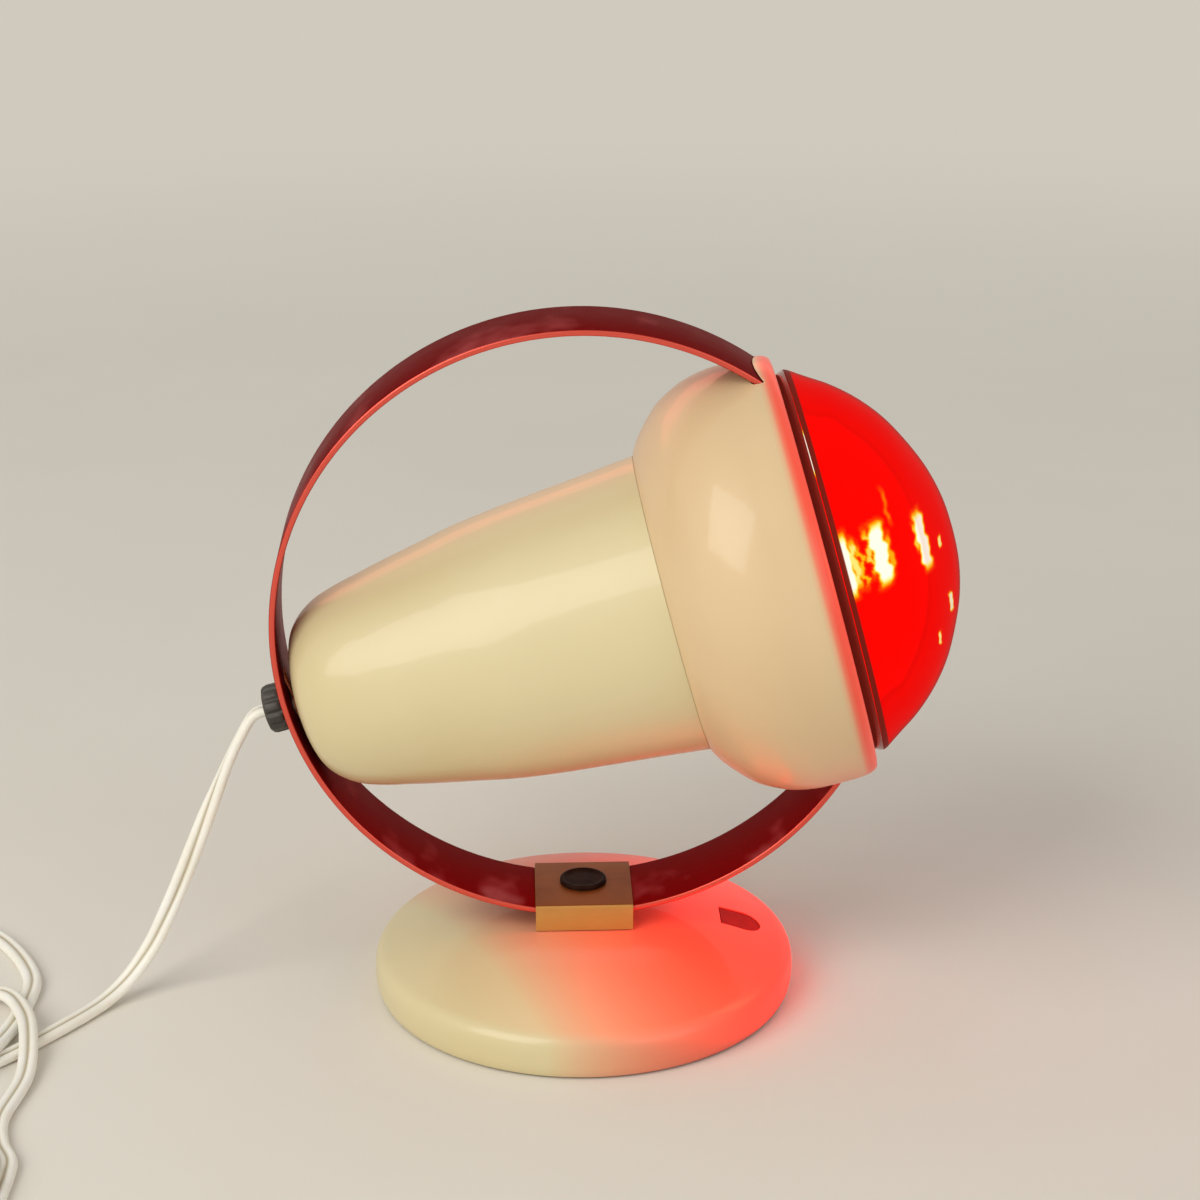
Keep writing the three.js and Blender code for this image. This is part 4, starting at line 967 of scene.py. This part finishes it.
mirror = finish(
    "mirrored glass", shade(226, 214, 204), metallic=1, roughness=0.12,
    emission_color=(0, 0, 0, 1), emission_strength=1,
)
mottle(mirror, shade(200, 184, 170), 30)
grain(mirror, 60, 0.08, 0.001, rough=(0.08, 0.2))
band_behind(mirror, band_dark)

# The silver is metal, and the bare glass of the band isn't.
silvered = add_node(mirror, "ShaderNodeMath", {"operation": "SUBTRACT"})
silvered.inputs[0].default_value = 1
join_nodes(
    mirror,
    (mark_in(mirror, "band"), silvered.inputs[1]),
    (silvered.outputs[0], shader_of(mirror).inputs["Metallic"]),
)

clear_glass = finish(
    "clear glass", (0.95, 0.95, 0.95), roughness=0.05, ior=1.45, transmission_weight=1.0,
)
grain(clear_glass, 60, 0.05, 0.001)
hot_wire = finish(
    "lit filament", (0.9, 0.6, 0.3), roughness=0.5,
    emission_color=(1, 0.62, 0.3, 1), emission_strength=60,
)
mottle(hot_wire, (1.0, 0.7, 0.4), 300)

dome_outside = through([
    (0.0635, 0.0837), (0.0628, 0.0851), (0.0612, 0.0875),
    (0.0590, 0.0908), (0.0556, 0.0960), (0.0507, 0.1019),
    (0.0452, 0.1071), (0.0392, 0.1115), (0.0290, 0.1169),
    (0.0204, 0.1203), (0.0102, 0.1226), (0, 0.1231),
], 0.00042)
dome_inside = through([
    (0, 0.1219), (0.0100, 0.1214), (0.0199, 0.1191),
    (0.0283, 0.1157), (0.0384, 0.1104), (0.0443, 0.1060),
    (0.0497, 0.1008), (0.0545, 0.0951), (0.0577, 0.0899),
    (0.0596, 0.0868), (0.0608, 0.0850), (0.0614, 0.0837),
], 0.003)
dome_outline = np.vstack([dome_outside, dome_inside])
dome_steps = 420
dome_reach = np.repeat(dome_outline[:, 1:], dome_steps, axis=1)
dome_down = dome_outline[:, :1] * np.cos(full_turn(dome_steps))

# Painted reflections: the filament's light, mirrored by the reflector, is painted in the glass as
# wavering glowing streaks. Each row below is a streak: how far along the head and how far down it
# lies, its half width, half length, waver and brightness.
streaks = (
    (0.0856, -0.0185, 0.0014, 0.0110, 0.0002, 1.15),
    (0.0882, -0.0180, 0.0010, 0.0090, 0.0005, 0.66),
    (0.0902, -0.0165, 0.0007, 0.0080, 0.0007, 0.5), (0.0936, -0.0190, 0.0008, 0.0085, 0.0008, 0.58),
    (0.0966, -0.0170, 0.0019, 0.0105, 0.0005, 1.3), (0.0996, -0.0160, 0.0008, 0.0070, 0.0004, 0.45),
    (0.1090, -0.0150, 0.0006, 0.0050, 0.0004, 0.55), (0.1108, -0.0125, 0.0013, 0.0100, 0.0003, 1.2),
    (0.1156, 0.0130, 0.0006, 0.0044, 0.0002, 0.95), (0.1090, 0.0205, 0.0004, 0.0032, 0.0002, 0.8),
    (0.1164, -0.0075, 0.0005, 0.0020, 0.0001, 0.8), (0.1020, -0.0280, 0.0005, 0.0060, 0.0003, 0.3),
)
streak_wave = 0.0011
streak_ripple = 0.00052
painted_glints = np.zeros(dome_reach.shape)
for reach, down, half_width, half_length, waver, strength in streaks:
    wave = np.sin(dome_down / streak_wave + reach * 900)
    swing = waver * (wave + 0.6 * np.sin(dome_down / streak_ripple))
    off = np.abs(dome_reach - reach - swing) / half_width
    along = np.abs(dome_down - down) / half_length
    inside = np.clip(1.7 - off, 0, 1) * np.clip(2.2 * (1 - along), 0, 1)
    painted_glints = np.maximum(painted_glints, strength * inside)
band_edge = 0.0855
band_fade = 0.0002
band = np.clip((band_edge - dome_reach) / band_fade, 0, 1)
front_glass = turned_piece(
    "red_front_glass", dome_outline, dome_steps, red_glass, head_place, crease=60,
    marks={"streak": painted_glints, "band": band},
)
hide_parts("bulb_front_glass")
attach(front_glass, "bulb")

reflector_outside = through([
    (0.0124, -0.0304), (0.0128, -0.0285), (0.0155, -0.0236), (0.0202, -0.0160), (0.0230, -0.0076),
    (0.0254, 0.0094), (0.0335, 0.0276), (0.0428, 0.0447),
    (0.0526, 0.0618), (0.0607, 0.0766), (0.0635, 0.0834),
], 0.003)
reflector_inside = reflector_outside[::-1] - np.array([[glass_wall, 0]])
reflector_outline = np.vstack([reflector_outside, reflector_inside])
bare_from = 0.0745
bare_fade = 0.001
bare = np.clip((reflector_outline[:, 1:] - bare_from) / bare_fade, 0, 1)
bare[len(reflector_outside):] = 0
reflector_steps = 128
reflector = turned_piece(
    "mirrored_reflector", reflector_outline, reflector_steps, mirror, head_place, crease=40,
    marks={"band": np.repeat(bare, reflector_steps, axis=1)},
)
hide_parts("bulb_reflector")
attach(reflector, "bulb")

# The cap's wall waves in and out along a helix: its radius is a cosine of height and angle
# together, and the wave dies away toward both ends.
cap_ends = (-0.0552, -0.0307)
cap_outer = 0.01282
cap_inner = 0.01232
thread_height = 0.00036
thread_pitch = 0.0036
thread_fade = 0.003
cap_rows = np.linspace(*cap_ends, 64)[:, None]
cap_angle = full_turn(64)
cap_depth = np.minimum(cap_rows - cap_ends[0], cap_ends[1] - cap_rows)
cap_depth = thread_height * np.clip(cap_depth / thread_fade, 0, 1)
cap_wave = cap_depth * np.cos(2 * pi * cap_rows / thread_pitch - cap_angle)
cap_radius = np.vstack([cap_outer + cap_wave, (cap_inner + cap_wave)[::-1]])
cap_height = np.vstack([cap_rows, cap_rows[::-1]])
cap_points = put(round_axis(cap_radius, cap_angle, cap_height), head_place)
threaded_cap = grid_piece("threaded_cap", cap_points, plated_steel, crease=50, round_rows=True)
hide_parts("bulb_cap")
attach(threaded_cap, "bulb")

# The filament is a fine wire wound in a helix along a zigzag between its two supports.
zigzag_half = 0.015
zigzag_from = 0.0376
zigzag_depth = 0.011
wire_spacing = 0.00005
wire_steps = 9  # to each turn
wire_radius = 0.00013
winding_radius = 0.00055
corner = np.arange(9)
zigzag = through(np.stack([
    np.zeros(9), zigzag_half * (corner / 4 - 1), zigzag_from + zigzag_depth * (corner % 2),
], axis=1), wire_spacing)
zigzag_run = np.gradient(zigzag, axis=0)
zigzag_run /= np.linalg.norm(zigzag_run, axis=1)[:, None]
winding = (np.arange(len(zigzag)) * 2 * pi / wire_steps)[:, None]
wire_out = np.cos(winding) * [1, 0, 0] + np.sin(winding) * np.cross(zigzag_run, [1, 0, 0])
wire_points = carry(zigzag + winding_radius * wire_out, circle(wire_radius, 5), across=wire_out)
filament = grid_piece("filament_coil", put(wire_points, head_place), hot_wire, crease=80)
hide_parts("filament")
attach(filament, "bulb")

coat_nodes(clear_glass, "bulb_stem")
coat_nodes(plated_steel, "filament_support_1", "filament_support_2", "bulb_contact")
coat_nodes(badge_black, "bulb_cap_insulator")


# Floor and light
# A pale paper floor stands in for the table. Farther out it turns into a plain ground of one tone,
# which the world has too, so no edge shows from any side. A large soft lamp lights the cream from
# the upper left, a weaker one fills from the right, and red lamps stand in for the bulb's own glow.
ground_tone = shade(208, 202, 190)
floor_radius = 14
paper_to = 0.5
ground_from = 1.6
floor_reach = np.r_[0, np.geomspace(0.2, floor_radius, 24)]
floor_points = revolve(np.column_stack([floor_reach, np.zeros(len(floor_reach))]), 96)
paper = finish("pale paper", shade(236, 231, 222), roughness=0.85, specular_ior_level=0.2)
mottle(paper, shade(232, 227, 217), 3)


def seen_plainly(made):
    """1 for rays that come from the camera, a reflection or through glass, and 0 for the others."""
    rays = add_node(made, "ShaderNodeLightPath").outputs
    total = rays["Is Camera Ray"]
    for kind in ("Is Glossy Ray", "Is Transmission Ray"):
        either = add_node(made, "ShaderNodeMath", {"operation": "MAXIMUM"})
        join_nodes(made, (total, either.inputs[0]), (rays[kind], either.inputs[1]))
        total = either.outputs[0]
    return total


floor_distance = add_node(paper, "ShaderNodeVectorMath", {"operation": "LENGTH"})
floor_fade = add_node(
    paper, "ShaderNodeMapRange", {"interpolation_type": "SMOOTHSTEP"},
    from_min=paper_to, from_max=ground_from,
)
floor_share = add_node(paper, "ShaderNodeMath", {"operation": "MULTIPLY"})
floor_ground = add_node(paper, "ShaderNodeEmission", color=(*ground_tone, 1), strength=1)
floor_blend = add_node(paper, "ShaderNodeMixShader")
join_nodes(
    paper,
    (own_place(paper), floor_distance.inputs[0]),
    (floor_distance.outputs["Value"], floor_fade.inputs["Value"]),
    (floor_fade.outputs["Result"], floor_share.inputs[0]),
    (seen_plainly(paper), floor_share.inputs[1]),
    (floor_share.outputs[0], floor_blend.inputs[0]),
    (shader_of(paper).outputs["BSDF"], floor_blend.inputs[1]),
    (floor_ground.outputs["Emission"], floor_blend.inputs[2]),
    (floor_blend.outputs["Shader"], paper.node_tree.nodes["Material Output"].inputs["Surface"]),
)
table = grid_piece("paper_floor", floor_points, paper, crease=60)


def soft_lamp(name, place, aim, size, power, colour, lit=None):
    """An area lamp at place, turned toward aim. It lights only the pieces in lit, where given."""
    data = bpy.data.lights.new(name, "AREA")
    data.shape = "RECTANGLE"
    data.size, data.size_y = size
    data.energy = power
    data.color = colour
    lamp = bpy.data.objects.new(name, data)
    lamp.location = place
    lamp.rotation_euler = (Vector(aim) - Vector(place)).to_track_quat("-Z", "Y").to_euler()
    scene.collection.objects.link(lamp)
    lamp.visible_camera = False
    if lit:
        lamp.light_linking.receiver_collection = bpy.data.collections.new(name + " reach")
        for piece in lit:
            lamp.light_linking.receiver_collection.objects.link(piece)


lamp_aim = (0, 0, 0.12)
soft_lamp("key lamp", (-1.2, -1.15, 1.3), lamp_aim, (1.34, 1.34), 23, (1, 0.97, 0.9))
soft_lamp("fill lamp", (1.6, -1.7, 1.1), lamp_aim, (1.6, 1.6), 8, (1, 0.95, 0.9))
soft_lamp(
    "bulb glow on the foot", (0.145, -0.02, 0.105), (0.03, 0, 0.02), (0.05, 0.09), 0.42,
    (1, 0.035, 0.012), lit=[base, inlay],
)
soft_lamp(
    "bulb glow on the rim", head_middle + 0.42 * head_axis, head_middle, (0.1, 0.1), 0.5,
    (1, 0.10, 0.06), lit=[bell],
)
soft_lamp(
    "bulb glow behind", (-0.1, 1.05, 0.6), lamp_aim, (1.8, 0.28), 3.6, (1, 0.14, 0.1),
    lit=[bell, housing],
)

world = bpy.data.worlds.new("studio")
world.use_nodes = True
sky = world.node_tree.nodes["Background"]
sky.inputs["Color"].default_value = (0.94, 0.93, 0.9, 1)
sky.inputs["Strength"].default_value = 0.5
world_ground = add_node(world, "ShaderNodeBackground", color=(*ground_tone, 1), strength=1)
world_blend = add_node(world, "ShaderNodeMixShader")
join_nodes(
    world,
    (seen_plainly(world), world_blend.inputs[0]),
    (sky.outputs["Background"], world_blend.inputs[1]),
    (world_ground.outputs["Background"], world_blend.inputs[2]),
    (world_blend.outputs["Shader"], world.node_tree.nodes["World Output"].inputs["Surface"]),
)
scene.world = world
